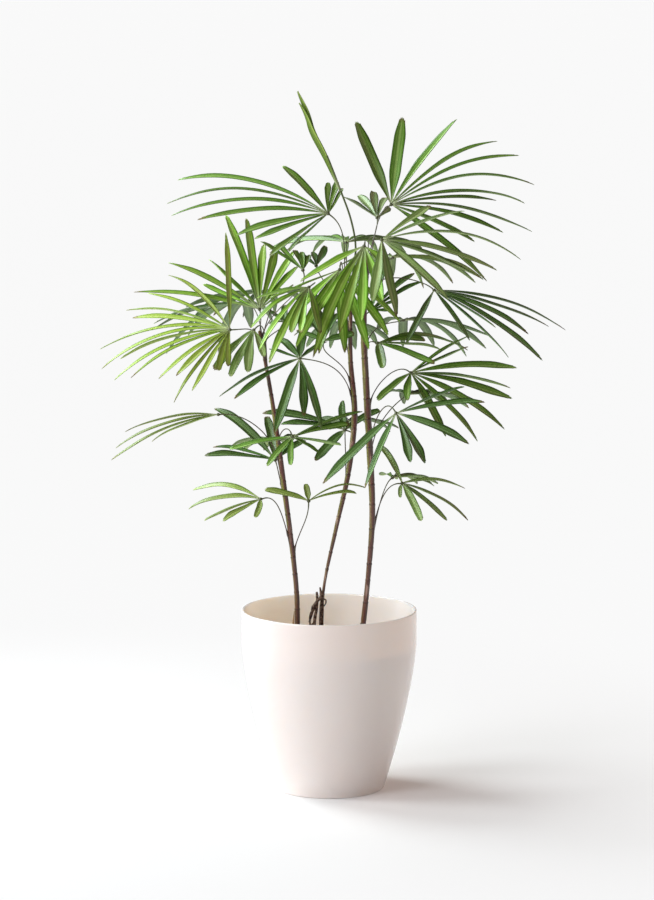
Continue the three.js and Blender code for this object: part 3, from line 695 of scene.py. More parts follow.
def makePot():
    height, wall, edge = potSizes["height"], potSizes["wall"], potSizes["footEdge"]
    rings = potLook["rings"]
    outer = [(potRadius(z), z) for z in heights(edge, height - wall / 2, rings["outside"])]
    rim = arc((potRadius(height) - wall / 2, height - wall / 2), wall / 2, 0, 180, rings["rim"])
    depths = heights(height - wall / 2, potSizes["floor"], rings["inside"])
    inner = [(potRadius(z) - wall, z) for z in depths]
    footArc = arc((potRadius(edge) - edge, edge), edge, -90, 0, rings["foot"])
    outside = [*footArc[:-1], *outer[:-1], *rim]
    pot = turned("pot_shell", [(0, 0), *outside, *inner[1:], (0, potSizes["floor"])], potLook["sides"])
    pot.data.shade_smooth()
    last = 1 + (len(outside) - 3) * potLook["sides"]      # vertex, on the rim's inner edge
    putAttribute(pot, "inside", [float(index > last) for index in range(len(pot.data.vertices))])

    material, tree, shader = newMaterial("gloss plastic", potLook["roughness"], **potLook["finish"])
    inside = shaderAttribute(tree, "inside")
    # painted light: the inner wall takes the paler colour
    plug(shader.inputs["Base Color"], blendColour(tree, inside, potLook["colour"], potLook["inside"]))
    for label, least, most in zip(("Weight", "Scale"), potLook["glow"], potLook["glowInside"]):
        plug(shader.inputs["Subsurface " + label], inside * (most - least) + least)
    bump(tree, shader, noiseAt(objectPlace(tree), *potLook["waver"]), *potLook["waverBump"])
    paint(pot, material)
    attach(pot, "root")
    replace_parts(pot, "pot")


makePot()
print("pot made")


# Soil: a filled body with an uneven top and loose lumps on it

soilLook = {
    "sizes": dict(Heave=0.005, Lumps=9000.0, LumpSize=0.0042, Seed=7),    # metres, and per square metre
    "sides": 96,
    "rings": (16, 26),     # up the side and over the top
    "clear": 0.3,          # mm over the pot's bottom
    "top": (0.5, 0.9),     # height of the normal where the top begins and is full
    "heaveNoise": (28, 4, 0.6),    # scale, detail, roughness
    "heaveZero": 0.62,     # level of the noise that stays where it is
    "heaveMost": 0.003,
    "lumpShares": ((0.25, 0.25, 0.2), (1.1, 0.9, 0.7)),    # least and most, of the size
    "lumpTurns": (6.28, 6.28, 6.28),
    "gloss": (0.95, 0.2),
    "grain": (260, 6, 0.7),
    "grainBump": (0.002, 0.8),
    "pales": (0.38, 0.66),
    "dark": linear(84, 64, 48),
    "pale": linear(164, 136, 108),
}


def soilTree():
    tree, given, result = newTree("Soil", soilLook["sizes"])
    place = step(tree, "GeometryNodeInputPosition")
    normal = step(tree, "GeometryNodeInputNormal")
    isTop = ramp(normal.part(2), *soilLook["top"])
    waver = noiseAt(place, *soilLook["heaveNoise"]) - soilLook["heaveZero"]
    rise = (waver * isTop * given["Heave"] * 2).least(soilLook["heaveMost"])
    offset = step(tree, "ShaderNodeCombineXYZ", Z=rise)
    ground = step(tree, "GeometryNodeSetPosition", Geometry=given["Geometry"], Offset=offset)
    scatter = step(tree, "GeometryNodeDistributePointsOnFaces", Mesh=ground, Selection=isTop,
                   Density=given["Lumps"], Seed=given["Seed"])
    lump = step(tree, "GeometryNodeMeshIcoSphere", Radius=given["LumpSize"], Subdivisions=1)
    least, most = soilLook["lumpShares"]
    size = step(tree, "FunctionNodeRandomValue", {"data_type": "FLOAT_VECTOR"}, Seed=given["Seed"],
                Min=least, Max=most)
    turn = step(tree, "FunctionNodeRandomValue", {"data_type": "FLOAT_VECTOR"}, Seed=given["Seed"],
                Max=soilLook["lumpTurns"])
    lumps = step(tree, "GeometryNodeInstanceOnPoints", Points=scatter, Instance=lump, Rotation=turn,
                 Scale=size)
    lumps = step(tree, "GeometryNodeRealizeInstances", Geometry=lumps)
    joined = tree.nodes.new("GeometryNodeJoinGeometry")
    for part in (lumps, ground):
        tree.links.new(part.socket, joined.inputs[0])
    return closed(tree, given, result, Field(joined.outputs[0]))


def makeSoil():
    level, gap = potSizes["soilLevel"], potSizes["wall"] + potSizes["soilGap"]
    bottom = potSizes["floor"] + soilLook["clear"]
    sideRings, topRings = soilLook["rings"]
    side = [(potRadius(z) - gap, z) for z in heights(bottom, level, sideRings)]
    edge = side[-1][0]
    top = [(edge * share, level) for share in heights(1, 0, topRings)[1:]]
    soil = turned("soil_body", [(0, bottom), *side, *top], soilLook["sides"])
    material, tree, shader = newMaterial("potting soil", *soilLook["gloss"])
    grain = noiseAt(objectPlace(tree), *soilLook["grain"])
    pale = ramp(grain, *soilLook["pales"])
    plug(shader.inputs["Base Color"], blendColour(tree, pale, soilLook["dark"], soilLook["pale"]))
    bump(tree, shader, grain, *soilLook["grainBump"])
    grown(soil, soilTree(), dict(soilLook["sizes"], Material=material))
    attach(soil, "root")
    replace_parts(soil, "soil")


makeSoil()
print("soil made")


# Tubes: polylines whose points carry a radius, swept round and roughened

tubeLook = {
    "sizes": dict(Sides=16, Relief=0.0003, Grain=120.0),
    "stretch": 0.15,         # of the grain, upwards
    "noise": (4, 3),         # scale, in grains, and detail
}


def tubeTree():
    tree, given, result = newTree("Tubes", tubeLook["sizes"])
    line = step(tree, "GeometryNodeMeshToCurve", Mesh=given["Geometry"])
    circle = step(tree, "GeometryNodeCurvePrimitiveCircle", Resolution=given["Sides"], Radius=1.0)
    skin = step(tree, "GeometryNodeCurveToMesh", Curve=line, Profile_Curve=circle,
                Scale=named(tree, "radius"), Fill_Caps=True)
    normal = step(tree, "GeometryNodeInputNormal")
    skin = stored(tree, skin, "outward", normal, "FLOAT_VECTOR")
    place = step(tree, "GeometryNodeInputPosition")
    streaks = step(tree, "ShaderNodeCombineXYZ", X=place.part(0), Y=place.part(1),
                   Z=place.part(2) * tubeLook["stretch"])
    scale, detail = tubeLook["noise"]
    height = (noiseAt(streaks, given["Grain"] * scale, detail) - 0.5) * given["Relief"] * 2
    skin = step(tree, "GeometryNodeSetPosition", Geometry=skin, Offset=normal * height)
    skin = step(tree, "GeometryNodeSetShadeSmooth", Geometry=skin)
    return closed(tree, given, result, skin)


tubes = tubeTree()


def tubeThing(name, lines, values):   # each line is a list of dictionaries: place, radius and more numbers
    corners = [point["place"] * mm for line in lines for point in line]
    edges, first = [], 0
    for line in lines:
        edges += [(first + i, first + i + 1) for i in range(len(line) - 1)]
        first += len(line)
    thing = meshThing(name, corners, edges=edges)
    for label in lines[0][0]:
        if label != "place":
            scale = mm if label == "radius" else 1
            putAttribute(thing, label, [point[label] * scale for line in lines for point in line])
    return grown(thing, tubes, values)


# Canes: smooth and jointed, a raised leaf scar round each joint, one side green and the other side darkened
# by painted shade

caneLook = {
    "step": 1.6,             # mm between sections
    "start": 2.5,            # mm that a cane reaches into the soil
    "jointGaps": (26, 48),
    "topGap": 8,             # mm under the top with no joint
    "nearTop": 0.4,          # share by which the gaps shrink to the top
    "jointStrengths": (0.6, 1.1),
    "scarHeight": 0.6,
    "lip": 1.3,              # mm, half the height of the scar's lip
    "waist": (3.5, 2.4, 0.55),    # mm over the lip, mm half height, depth as a share of the lip's
    "body": 0.97,            # share of the solid's radius
    "capEnd": 0.6,           # likewise at the very top
    "sizes": dict(Sides=24, Relief=0.00022, Grain=60.0),
    "seed": 31,
    "low": linear(104, 60, 46),
    "high": linear(108, 48, 34),
    "green": linear(128, 126, 44),
    # dark bark colour of the scars and grain, also used for the painted shade on the canes' right side
    "scar": linear(44, 28, 23),
    # pale pinkish patches, partly the bark's own flaking and partly painted highlight
    "flakeAndHighlight": linear(206, 170, 152),
    "gloss": (0.34, 0.6),
    "stretch": (1, 1, 0.12),
    "grain": (330, 4, 0.65),
    "patch": (22, 2),
    "patchy": 1.6,
    "flakeAndHighlightNoise": (120, 4, 0.7),
    "greenSide": (-0.9, -0.42, 0.0),
    # painted shade: the side of each cane, to the right and front, that is darkened as if out of the light
    "paintedShadeSide": (0.85, -0.4, 0.0),
    "ramps": {               # from where to where a colour comes in, then its least and most
        "high": (0.15, 0.75), "green": (0.45, 0.95), "greenUp": (0.15, 0.5, 0.25, 0.85),
        # on this line the pale patches are partly the bark's own and partly painted highlight, and dark is
        # the painted shade on the right side
        "grain": (0.35, 0.75, 0, 0.45), "flakeAndHighlight": (0.57, 0.68, 0, 0.7), "dark": (0.35, 0.95, 0, 0.6),
        "scar": (0.25, 0.8, 0, 0.6),
    },
    "bump": (0.0006, 0.5),
}


def caneLines():
    draw = random.Random(caneLook["seed"])
    over, half, depth = caneLook["waist"]
    lines = []
    for cane in canes.values():
        joints = []
        z = plantFoot + draw.uniform(*caneLook["jointGaps"])
        while z < cane["top"] - caneLook["topGap"]:
            joints.append((z, draw.uniform(*caneLook["jointStrengths"])))
            shrink = caneLook["nearTop"] * (z - plantFoot) / (cane["top"] - plantFoot)
            z += draw.uniform(*caneLook["jointGaps"]) * (1.1 - shrink)
        line = []
        count = round((cane["top"] - plantFoot) / caneLook["step"])
        for z in heights(plantFoot - caneLook["start"], cane["top"], count):
            place, radius = caneAt(cane, z)
            nearest, strength = min(joints, key=lambda joint: abs(joint[0] - z))
            lip = math.exp(-((z - nearest) / caneLook["lip"]) ** 2) * strength
            waist = math.exp(-((z - nearest - over) / half) ** 2) * strength
            radius = radius * caneLook["body"] + caneLook["scarHeight"] * (lip - depth * waist)
            line.append(dict(place=place, radius=radius, scar=lip,
                             share=(z - plantFoot) / (cane["top"] - plantFoot)))
        line[-1]["radius"] *= caneLook["capEnd"]
        lines.append(line)
    return lines


def makeCanes():
    material, tree, shader = newMaterial("cane bark", *caneLook["gloss"])
    place = objectPlace(tree)
    share = shaderAttribute(tree, "share")
    outward = shaderAttribute(tree, "outward", "Vector")
    streak = tree.nodes.new("ShaderNodeMapping")
    plug(streak.inputs["Vector"], place)
    streak.inputs["Scale"].default_value = caneLook["stretch"]
    streaks = Field(streak.outputs[0])
    grain = noiseAt(streaks, *caneLook["grain"])
    patch = noiseAt(place, *caneLook["patch"]) - 0.5
    ramps = caneLook["ramps"]
    side = outward.dot(caneLook["greenSide"]) + patch * caneLook["patchy"]
    base = layered(
        tree, caneLook["low"],
        (ramp(share, *ramps["high"]), caneLook["high"]),
        (ramp(side, *ramps["green"]) * ramp(share, *ramps["greenUp"]), caneLook["green"]),
        (ramp(grain, *ramps["grain"]), caneLook["scar"]),
        # pale patches laid at random, partly real flaking and partly painted highlight
        (ramp(noiseAt(streaks, *caneLook["flakeAndHighlightNoise"]), *ramps["flakeAndHighlight"]), caneLook["flakeAndHighlight"]),
        # painted shade on the right side of each cane
        (ramp(outward.dot(caneLook["paintedShadeSide"]), *ramps["dark"]), caneLook["scar"]),
        (ramp(shaderAttribute(tree, "scar"), *ramps["scar"]), caneLook["scar"]),
    )
    plug(shader.inputs["Base Color"], base)
    bump(tree, shader, grain, *caneLook["bump"])
    bark = tubeThing("cane_bark", caneLines(), dict(caneLook["sizes"], Material=material))
    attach(bark, "root")
    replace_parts(bark, *(f"cane_{name}" for name in canes))


makeCanes()
print("canes made")


# Old cut stub, its dead shoots, and the dead sheaths at the canes' feet

stubLook = {
    "sizes": dict(Sides=14, Relief=0.0015, Grain=45.0),
    "points": 30,
    "gloss": (0.85, 0.25),
    "grain": (190, 5, 0.7),
    "bump": (0.001, 0.8),
    "dark": linear(56, 38, 32),
    "pale": linear(150, 124, 104),
    "tan": linear(196, 158, 116),
    "tanShare": 0.8,
    "pales": (0.4, 0.7),
    "gnarls": [    # a dry tan sheath on the left cane, then dark ones that hug the middle cane's foot
        dict(path=[(-63, -14, 257), (-63.6, -14.6, 292), (-61.8, -14, 319)], radii=[2.0, 2.2, 0.6], tan=1),
        dict(path=[(-15, 4, 256), (-14.5, 6, 292), (-13.5, 8, 322), (-12, 8, 344)],
             radii=[5, 4.6, 4.2, 2.4]),
        dict(path=[(-13, 6, 338), (-15, 5, 350), (-16.5, 4, 358)], radii=[3, 2.4, 1.6]),
        dict(path=[(-14, 3, 341), (-22, -1, 333), (-28, -3, 324), (-31, -4, 311), (-36, -5, 297)],
             radii=[2.4, 2.8, 3, 2.4, 0.8]),
        dict(path=[(-12, 2, 338), (-6.5, 0, 336), (-6.5, -1, 330), (-12, -1, 322)],
             radii=[1.5, 1.4, 1.2, 0.9]),
    ],
}


def makeStub():
    material, tree, shader = newMaterial("dead wood", *stubLook["gloss"])
    grain = noiseAt(objectPlace(tree), *stubLook["grain"])
    tan = shaderAttribute(tree, "tan") * stubLook["tanShare"]
    plug(shader.inputs["Base Color"], layered(
        tree, stubLook["dark"],
        (ramp(grain, *stubLook["pales"]), stubLook["pale"]), (tan, stubLook["tan"]),
    ))
    bump(tree, shader, grain, *stubLook["bump"])
    lines = []
    for limb in stubLimbs + stubLook["gnarls"]:
        points = [Vector(place) for place in limb["path"]]
        spans = len(points) - 1
        line = []
        for share in heights(0, 1, stubLook["points"]):
            index = min(int(share * spans), spans - 1)
            radius = lerp(limb["radii"][index], limb["radii"][index + 1], share * spans - index)
            line.append(dict(place=through(points, share), radius=radius, tan=limb.get("tan", 0)))
        lines.append(line)
    stub = tubeThing("stub_wood", lines, dict(stubLook["sizes"], Material=material))
    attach(stub, "root")
    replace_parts(stub, "old_stub")


makeStub()
print("stub made")


# Stalks: thin wires from a sheath that clasps the cane to a small knob where the leaflets meet

stalkLook = {
    "sizes": dict(Sides=10, Relief=0.00012, Grain=80.0),
    "points": 26,
    "thin": 0.95,            # mm, radius along most of the way
    "foot": 2.2,
    "flare": (9, 1.5),       # at the cane's end: one part in so many, and how fast it gets thin
    "swell": (8, 0.35),      # at the knob's end: one part in so many, and mm added to the radius
    "end": 1.3,
    "behind": 0.6,           # mm from the hub's middle to the stalk's end
    "sheath": 26,            # mm, length of the sheath down the cane
    "sheathDrops": (1, 0.55, 0.2),
    "sheathSunk": (0.6, 0.9),      # mm into the cane at its upper end, and more at its foot
    "sheathThin": 0.45,      # share of the radius that it loses to its foot
    "sheathClear": 4,        # mm over the soil, at least
    "knob": dict(Across=0.0034, Through=0.0026),    # metres, across and through the blade
    "gloss": (0.5, 0.5),
    "brown": linear(72, 54, 44),
    "green": linear(80, 84, 48),
    "specks": linear(58, 44, 30),
    "grain": (240, 3),
    "greens": (0.1, 1),
    "speckled": (0.45, 0.8, 0, 0.5),
}


def stalkLine(frond):
    stalk = frond["stalk"]
    corners = stalk["corners"]
    sunk, more = stalkLook["sheathSunk"]
    line = []
    for share in stalkLook["sheathDrops"]:
        z = max(corners[0].z - stalkLook["sheath"] * share, plantFoot + stalkLook["sheathClear"])
        place, radius = caneAt(stalk["cane"], z)
        line.append(dict(place=place + stalk["outward"] * (radius - sunk - more * share),
                         radius=stalkLook["foot"] * (1 - stalkLook["sheathThin"] * share), share=0))
    flare, power = stalkLook["flare"]
    parts, swell = stalkLook["swell"]
    for share in heights(0, 1, stalkLook["points"]):
        radius = (lerp(stalkLook["thin"], stalkLook["foot"], max(1 - share * flare, 0) ** power)
                  + swell * max(share * parts - (parts - 1), 0))
        line.append(dict(place=bezier(corners, share), radius=radius, share=share))
    hub = frond["hub"] - frond["faces"] * stalkLook["behind"]
    line.append(dict(place=hub, radius=stalkLook["end"], share=1))
    return line


def knobs():
    thing = meshThing("knobs", [frond["hub"] * mm for frond in frondTable])
    putAttribute(thing, "faces", [frond["faces"] for frond in frondTable])
    return thing


def knobTree():
    tree, given, result = newTree("Knobs", stalkLook["knob"])
    faces = named(tree, "faces", "FLOAT_VECTOR")
    turn = step(tree, "FunctionNodeAlignRotationToVector", {"axis": "Z"}, Vector=faces)
    ball = step(tree, "GeometryNodeMeshIcoSphere", Radius=1.0, Subdivisions=2)
    size = step(tree, "ShaderNodeCombineXYZ", X=given["Across"], Y=given["Across"], Z=given["Through"])
    many = step(tree, "GeometryNodeInstanceOnPoints", Points=given["Geometry"], Instance=ball,
                Rotation=turn, Scale=size)
    many = step(tree, "GeometryNodeRealizeInstances", Geometry=many)
    many = stored(tree, many, "share", 1.0)
    many = step(tree, "GeometryNodeSetShadeSmooth", Geometry=many)
    return closed(tree, given, result, many)


def joinInto(thing, other):
    both = [thing, other]
    with bpy.context.temp_override(active_object=thing, object=thing, selected_objects=both,
                                   selected_editable_objects=both):
        bpy.ops.object.join()


def makeStalks():
    material, tree, shader = newMaterial("stalk", *stalkLook["gloss"])
    grain = noiseAt(objectPlace(tree), *stalkLook["grain"])
    plug(shader.inputs["Base Color"], layered(
        tree, stalkLook["brown"],
        (ramp(shaderAttribute(tree, "share"), *stalkLook["greens"]), stalkLook["green"]),
        (ramp(grain, *stalkLook["speckled"]), stalkLook["specks"]),
    ))
    stalks = tubeThing("stalks", [stalkLine(frond) for frond in frondTable],
                       dict(stalkLook["sizes"], Material=material))
    joinInto(stalks, grown(knobs(), knobTree(), dict(stalkLook["knob"], Material=material)))
    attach(stalks, "root")
    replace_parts(stalks, *(frond["name"] for frond in frondTable))


makeStalks()
print("stalks made")


# Leaflets: one folded, pleated ribbon with a toothed tip, laid along each leaflet's own line

leafLook = {              # thickness in metres, then shares of the length or of the half width
    "sizes": dict(Across=9, Along=24, Thickness=0.0008, Widest=0.38, Taper=0.74, Fold=0.27, Pleat=0.034,
                  Tooth=0.022),
    "pleats": 4,
    "foldShares": (1.35, 0.75),    # of the fold at the hub, and how much of it the length takes away
    "crowd": 0.0016,         # metres of width that a leaflet has at the very hub
    "ripples": 9,
    "width": (15.2, 18.6),   # mm
    "root": (0.14, 0.55),    # share of the width at the hub, of long and of short leaflets
    "blunt": (0.3, 0.58),    # and at the tip, of long and of short or upright leaflets
    "bluntDraw": (0.7, 1.2),
    "short": (150, 90),      # mm, lengths at which a leaflet begins to count as short and does in full
    "upright": (0.7, 0.85),  # likewise the height of its direction
    "lean": (190, 300, 0.3), # mm, lengths from and to which a leaflet gets narrower, and by what share
    "slim": {"frond_middle_1": 0.95, "frond_left_1": 0.95, "frond_left_2": 0.74, "frond_left_6": 0.86,
             "frond_left_7": 0.68, "frond_right_3": 1.16, "frond_right_5": 0.76, "frond_right_9": 0.74},
    "room": 0.9,             # share of its sector that a leaflet may fill
    "twist": 0.5,            # radians either way at the tip
    "sway": 2.2,             # mm either way
    "wave": (0.4, 1.4),      # mm
    "hang": (-0.01, 0.07),
    "dry": (0, 0, 0.2, 0.5, 0.9),
    "seed": 1187,
}
bladeLook = {
    "gloss": (0.42, 0.3),
    "turnover": (-0.2, 0.2),       # where the under side gives way to the upper
    "sideRoughness": (0.62, 0.4),  # likewise
    # pale stripes on the pleats' crests, partly the real ribs and partly painted highlight
    "ribsAndHighlight": 0.24,
    "midrib": (0.04, 0.42, 0.55),  # share of the half width where it is full and gone, and its strength
    # painted shade along both edges of each leaflet
    "edge": (0.6, 1.0, 0.65),      # likewise
    "heart": linear(214, 216, 176),
    "heartShare": 0.6,
    "heartEnd": 0.16,              # share of the length where the pale heart is gone
    "tip": linear(112, 84, 48),
    "tipStart": 0.93,
    "mottle": (60, 3),
    "values": (0.27, 0.3),         # of each leaflet, and of the mottle
    "hues": (0.008, 0.504),
    "bump": (0.0006, 0.25),
}


# a tone's colours: upper side, under side, ribs, and the edge colour, which is painted shade
def tones(top, under, rib, edge, heartEnd=bladeLook["heartEnd"]):
    colours = dict(top=top, under=under, rib=rib, edge=edge)
    return dict({name: linear(*colour) for name, colour in colours.items()}, heartEnd=heartEnd)


toneLook = {
    "fresh": tones((150, 174, 57), (155, 174, 97), (207, 218, 130), (97, 125, 34)),
    "bright": tones((122, 164, 46), (150, 176, 93), (207, 235, 123), (61, 96, 21), 0.3),
    "mid": tones((95, 130, 42), (128, 151, 93), (171, 195, 110), (48, 71, 21)),
    "olive": tones((128, 145, 62), (154, 165, 105), (196, 207, 128), (78, 98, 34)),
    "grey": tones((118, 137, 84), (142, 153, 112), (174, 188, 136), (60, 75, 43)),
    "pale": tones((125, 150, 76), (162, 181, 124), (201, 217, 148), (72, 96, 44)),
    # darkest green: partly these fronds' own tone, and partly painted shade for fronds at the back and in
    # the crown's shaded middle
    "deep": tones((73, 102, 38), (111, 132, 90), (142, 170, 110), (34, 54, 18)),
}


def leafTree():
    tree, given, result = newTree("Leaflets", leafLook["sizes"])
    box = step(tree, "GeometryNodeMeshCube", Size=(2, 1, 2), Vertices_X=given["Across"],
               Vertices_Y=given["Along"], Vertices_Z=2)
    box = stored(tree, box, "unit", step(tree, "GeometryNodeInputPosition"), "FLOAT_VECTOR")
    many = step(tree, "GeometryNodeInstanceOnPoints", Points=given["Geometry"], Instance=box)
    many = step(tree, "GeometryNodeRealizeInstances", Geometry=many)

    unit = named(tree, "unit", "FLOAT_VECTOR")
    x, z = unit.part(0), unit.part(2)
    hub, out, side = (named(tree, label, "FLOAT_VECTOR") for label in ("hub", "out", "side"))
    span, droop, width, sector, twist, sway, wave, phase, hang, root, blunt = (
        named(tree, label) for label in
        "span droop width sector twist sway wave phase hang root blunt".split())

    pleat = (x * (math.pi * leafLook["pleats"])).cos()
    t = (unit.part(1) + 0.5) * (1 - given["Tooth"] * (x * x * 1.6 - pleat * 0.5 + 0.5))
    skyward = step(tree, "ShaderNodeCombineXYZ", Z=1.0)
    sink = droop * t * t + hang * t ** 4
    middle = hub + (out * t - skyward * sink) * span
    ahead = (out - skyward * (droop * t * 2 + hang * t ** 3 * 4)).unit()
    level = (side - ahead * side.dot(ahead)).unit()
    face = level.cross(ahead)
    turn = twist * t * t
    across = level * turn.cos() + face * turn.sin()
    face = across.cross(ahead)

    rise = ramp(t, 0.0, given["Widest"], root, 1.0)
    fall = ramp(t, given["Taper"], 1.02, 1.0, blunt)
    half = (width * rise * fall).least(sector * span * t + leafLook["crowd"]) * 0.5
    whole, loss = leafLook["foldShares"]
    fold = given["Fold"] * (whole - t * loss)
    lift = half * (fold * (x.abs() * 2 - 1) + pleat * given["Pleat"] * ramp(t, 0.0, 0.25))
    lift = lift + (t * leafLook["ripples"] + phase).sin() * wave * t + z * given["Thickness"] * 0.5
    bend = (t * math.pi).sin() * sway
    place = middle + across * (x * half + bend) + face * lift
    shaped = step(tree, "GeometryNodeSetPosition", Geometry=many, Position=place)
    shaped = step(tree, "GeometryNodeSetShadeSmooth", Geometry=shaped)
    return closed(tree, given, result, shaped)


def leafMaterial(name, tone):
    material, tree, shader = newMaterial(name, *bladeLook["gloss"])
    unit = shaderAttribute(tree, "unit", "Vector")
    x, t, z = unit.part(0), unit.part(1) + 0.5, unit.part(2)
    shade, dry = shaderAttribute(tree, "shade"), shaderAttribute(tree, "dry")
    # pale stripes on the pleats' crests, partly ribs and partly painted highlight
    ribsAndHighlight = ramp((x * (math.pi * leafLook["pleats"])).cos(), 0.1, 1.0) * bladeLook["ribsAndHighlight"]
    full, gone, strength = bladeLook["midrib"]
    midrib = ramp(x.abs(), full, gone, 1.0, 0.0) * strength
    start, end, strength = bladeLook["edge"]
    # painted shade: the blade darkens towards its edges
    edge = ramp(x.abs(), start, end) * strength
    top = blendColour(tree, ribsAndHighlight, tone["top"], tone["rib"])
    under = blendColour(tree, ribsAndHighlight, tone["under"], tone["rib"])
    colour = layered(
        tree, under,
        (ramp(z, *bladeLook["turnover"]), top), (midrib, tone["rib"]), (edge, tone["edge"]),
        (ramp(t, 0.0, tone["heartEnd"], bladeLook["heartShare"], 0.0), bladeLook["heart"]),
        (ramp(t, bladeLook["tipStart"], 1.0) * dry, bladeLook["tip"]),
    )
    mottle = noiseAt(objectPlace(tree), *bladeLook["mottle"])
    own, spotted = bladeLook["values"]
    hue, middle = bladeLook["hues"]
    tint = tree.nodes.new("ShaderNodeHueSaturation")
    plug(tint.inputs["Color"], colour)
    plug(tint.inputs["Value"], shade * own + (mottle - 0.5) * spotted + 1.0)
    plug(tint.inputs["Hue"], shade * hue + middle)
    plug(shader.inputs["Base Color"], Field(tint.outputs[0]))
    plug(shader.inputs["Roughness"], ramp(z, *bladeLook["turnover"], *bladeLook["sideRoughness"]))
    bump(tree, shader, mottle, *bladeLook["bump"])
    return material


def between(value, low, high):
    return min(max((value - low) / (high - low), 0), 1)


def shortness(leaflet):       # 0 for a long leaflet, 1 for a short one
    return between(leaflet["length"], *leafLook["short"])


def slimness(leaflet):
    low, high, loss = leafLook["lean"]
    small = min(leaflet["length"] / leafLook["short"][1], 1) ** 0.5
    return (leafLook["slim"].get(leaflet["frond"]["name"], 1) * small
            * (1 - loss * between(leaflet["length"], low, high)))


def bluntness(leaflet):
    upright = between(leaflet["out"].z, *leafLook["upright"])
    return lerp(*leafLook["blunt"], max(shortness(leaflet), upright))


def makeLeaves():
    tree = leafTree()
    draw = random.Random(leafLook["seed"])
    numbers = dict(          # in the order of the draws
        span=lambda leaf: leaf["length"] * mm / (1 + leaf["droop"] ** 2 / 6),
        droop=lambda leaf: leaf["droop"],
        width=lambda leaf: draw.uniform(*leafLook["width"]) * mm * slimness(leaf),
        root=lambda leaf: lerp(*leafLook["root"], shortness(leaf)),
        blunt=lambda leaf: bluntness(leaf) * draw.uniform(*leafLook["bluntDraw"]),
        sector=lambda leaf: leaf["sector"] * leafLook["room"],
        twist=lambda leaf: draw.uniform(-leafLook["twist"], leafLook["twist"]),
        sway=lambda leaf: draw.uniform(-leafLook["sway"], leafLook["sway"]) * mm,
        wave=lambda leaf: draw.uniform(*leafLook["wave"]) * mm,
        phase=lambda leaf: draw.uniform(0, 6.28),
        hang=lambda leaf: draw.uniform(*leafLook["hang"]) * (1 - leaf["out"].z ** 2),
        shade=lambda leaf: draw.uniform(-1, 1),
        dry=lambda leaf: draw.choice(leafLook["dry"]),
    )
    for tone, colours in toneLook.items():
        own = [leaflet for leaflet in leaflets if leaflet["frond"]["tone"] == tone]
        thing = meshThing(f"leaves_{tone}", [leaflet["hub"] * mm for leaflet in own])
        putAttribute(thing, "hub", [leaflet["hub"] * mm for leaflet in own])
        putAttribute(thing, "out", [leaflet["out"] for leaflet in own])
        putAttribute(thing, "side", [leaflet["across"] for leaflet in own])
        for label, number in numbers.items():
            putAttribute(thing, label, [number(leaflet) for leaflet in own])
        grown(thing, tree, dict(leafLook["sizes"], Material=leafMaterial(f"leaf {tone}", colours)))
        names = sorted({leaflet["frond"]["name"] for leaflet in own})
        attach(thing, "root")
        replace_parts(thing, *names)
        print("leaves", tone, len(own), "leaflets,", len(thing.data.polygons), "faces")


makeLeaves()


# Spear: an unopened frond, two folded blades pressed together, on its own stalk

spearLook = {
    "tones": tones((100, 126, 42), (110, 130, 60), (176, 190, 98), (64, 82, 32)),
    "dry": 0.2,
    "faces": (0.75, 0.66, 0),
    "thick": 0.4,            # mm, from the middle of a blade to either side
    "narrow": (0.8, 0.16),   # how slowly the width swells, and its least share
    "stem": linear(76, 88, 42),
    "roughness": 0.5,
    "stalk": (2.4, 1.7),     # mm, radius at the foot and above
    "stalkEnd": (0.62, 30),  # share of the path, in steps
    "sizes": dict(Sides=10, Relief=0.0001, Grain=80.0),
    "blades": (
        dict(start=0.50, end=1.0, width=22, fold=0.62, shift=(0, 0, 0)),
        dict(start=0.52, end=0.93, width=15, fold=0.4, shift=(-9, -4, 0)),
    ),
    "rows": 26,
    "columns": 5,
}
spearPoints = [Vector(place) for place in spearPath]


def spearBlade(blade, corners, faces, units):
    first = len(corners)
    power, least = spearLook["narrow"]
    for share in heights(0, 1, spearLook["rows"]):
        along = lerp(blade["start"], blade["end"], share)
        centre = through(spearPoints, along) + Vector(blade["shift"]) * share ** 2
        before, after = (through(spearPoints, place) for place in (min(along, 0.99), min(along + 0.01, 1)))
        ahead = (after - before).normalized()
        side = Vector(spearLook["faces"]).cross(ahead).normalized()
        face = side.cross(ahead)
        swell = math.sin(math.pi * min(share * 0.92 + 0.04, 1)) ** power
        half = blade["width"] * 0.5 * max(swell, least)
        for layer, x in itertools.product((1, -1), heights(-1, 1, spearLook["columns"] - 1)):
            x = x * layer
            lift = half * blade["fold"] * abs(x) + spearLook["thick"] * layer
            corners.append(centre + side * (x * half * (1 - blade["fold"] * 0.45)) + face * lift)
            units.append((x, share - 0.5, layer))
    ring = spearLook["columns"] * 2
    rows = spearLook["rows"] + 1
    for row in range(rows - 1):
        for index in range(ring):
            a, b = first + row * ring + index, first + row * ring + (index + 1) % ring
            faces.append((a, a + ring, b + ring, b))
    faces.append([first + index for index in range(ring)])
    faces.append([first + (rows - 1) * ring + index for index in reversed(range(ring))])


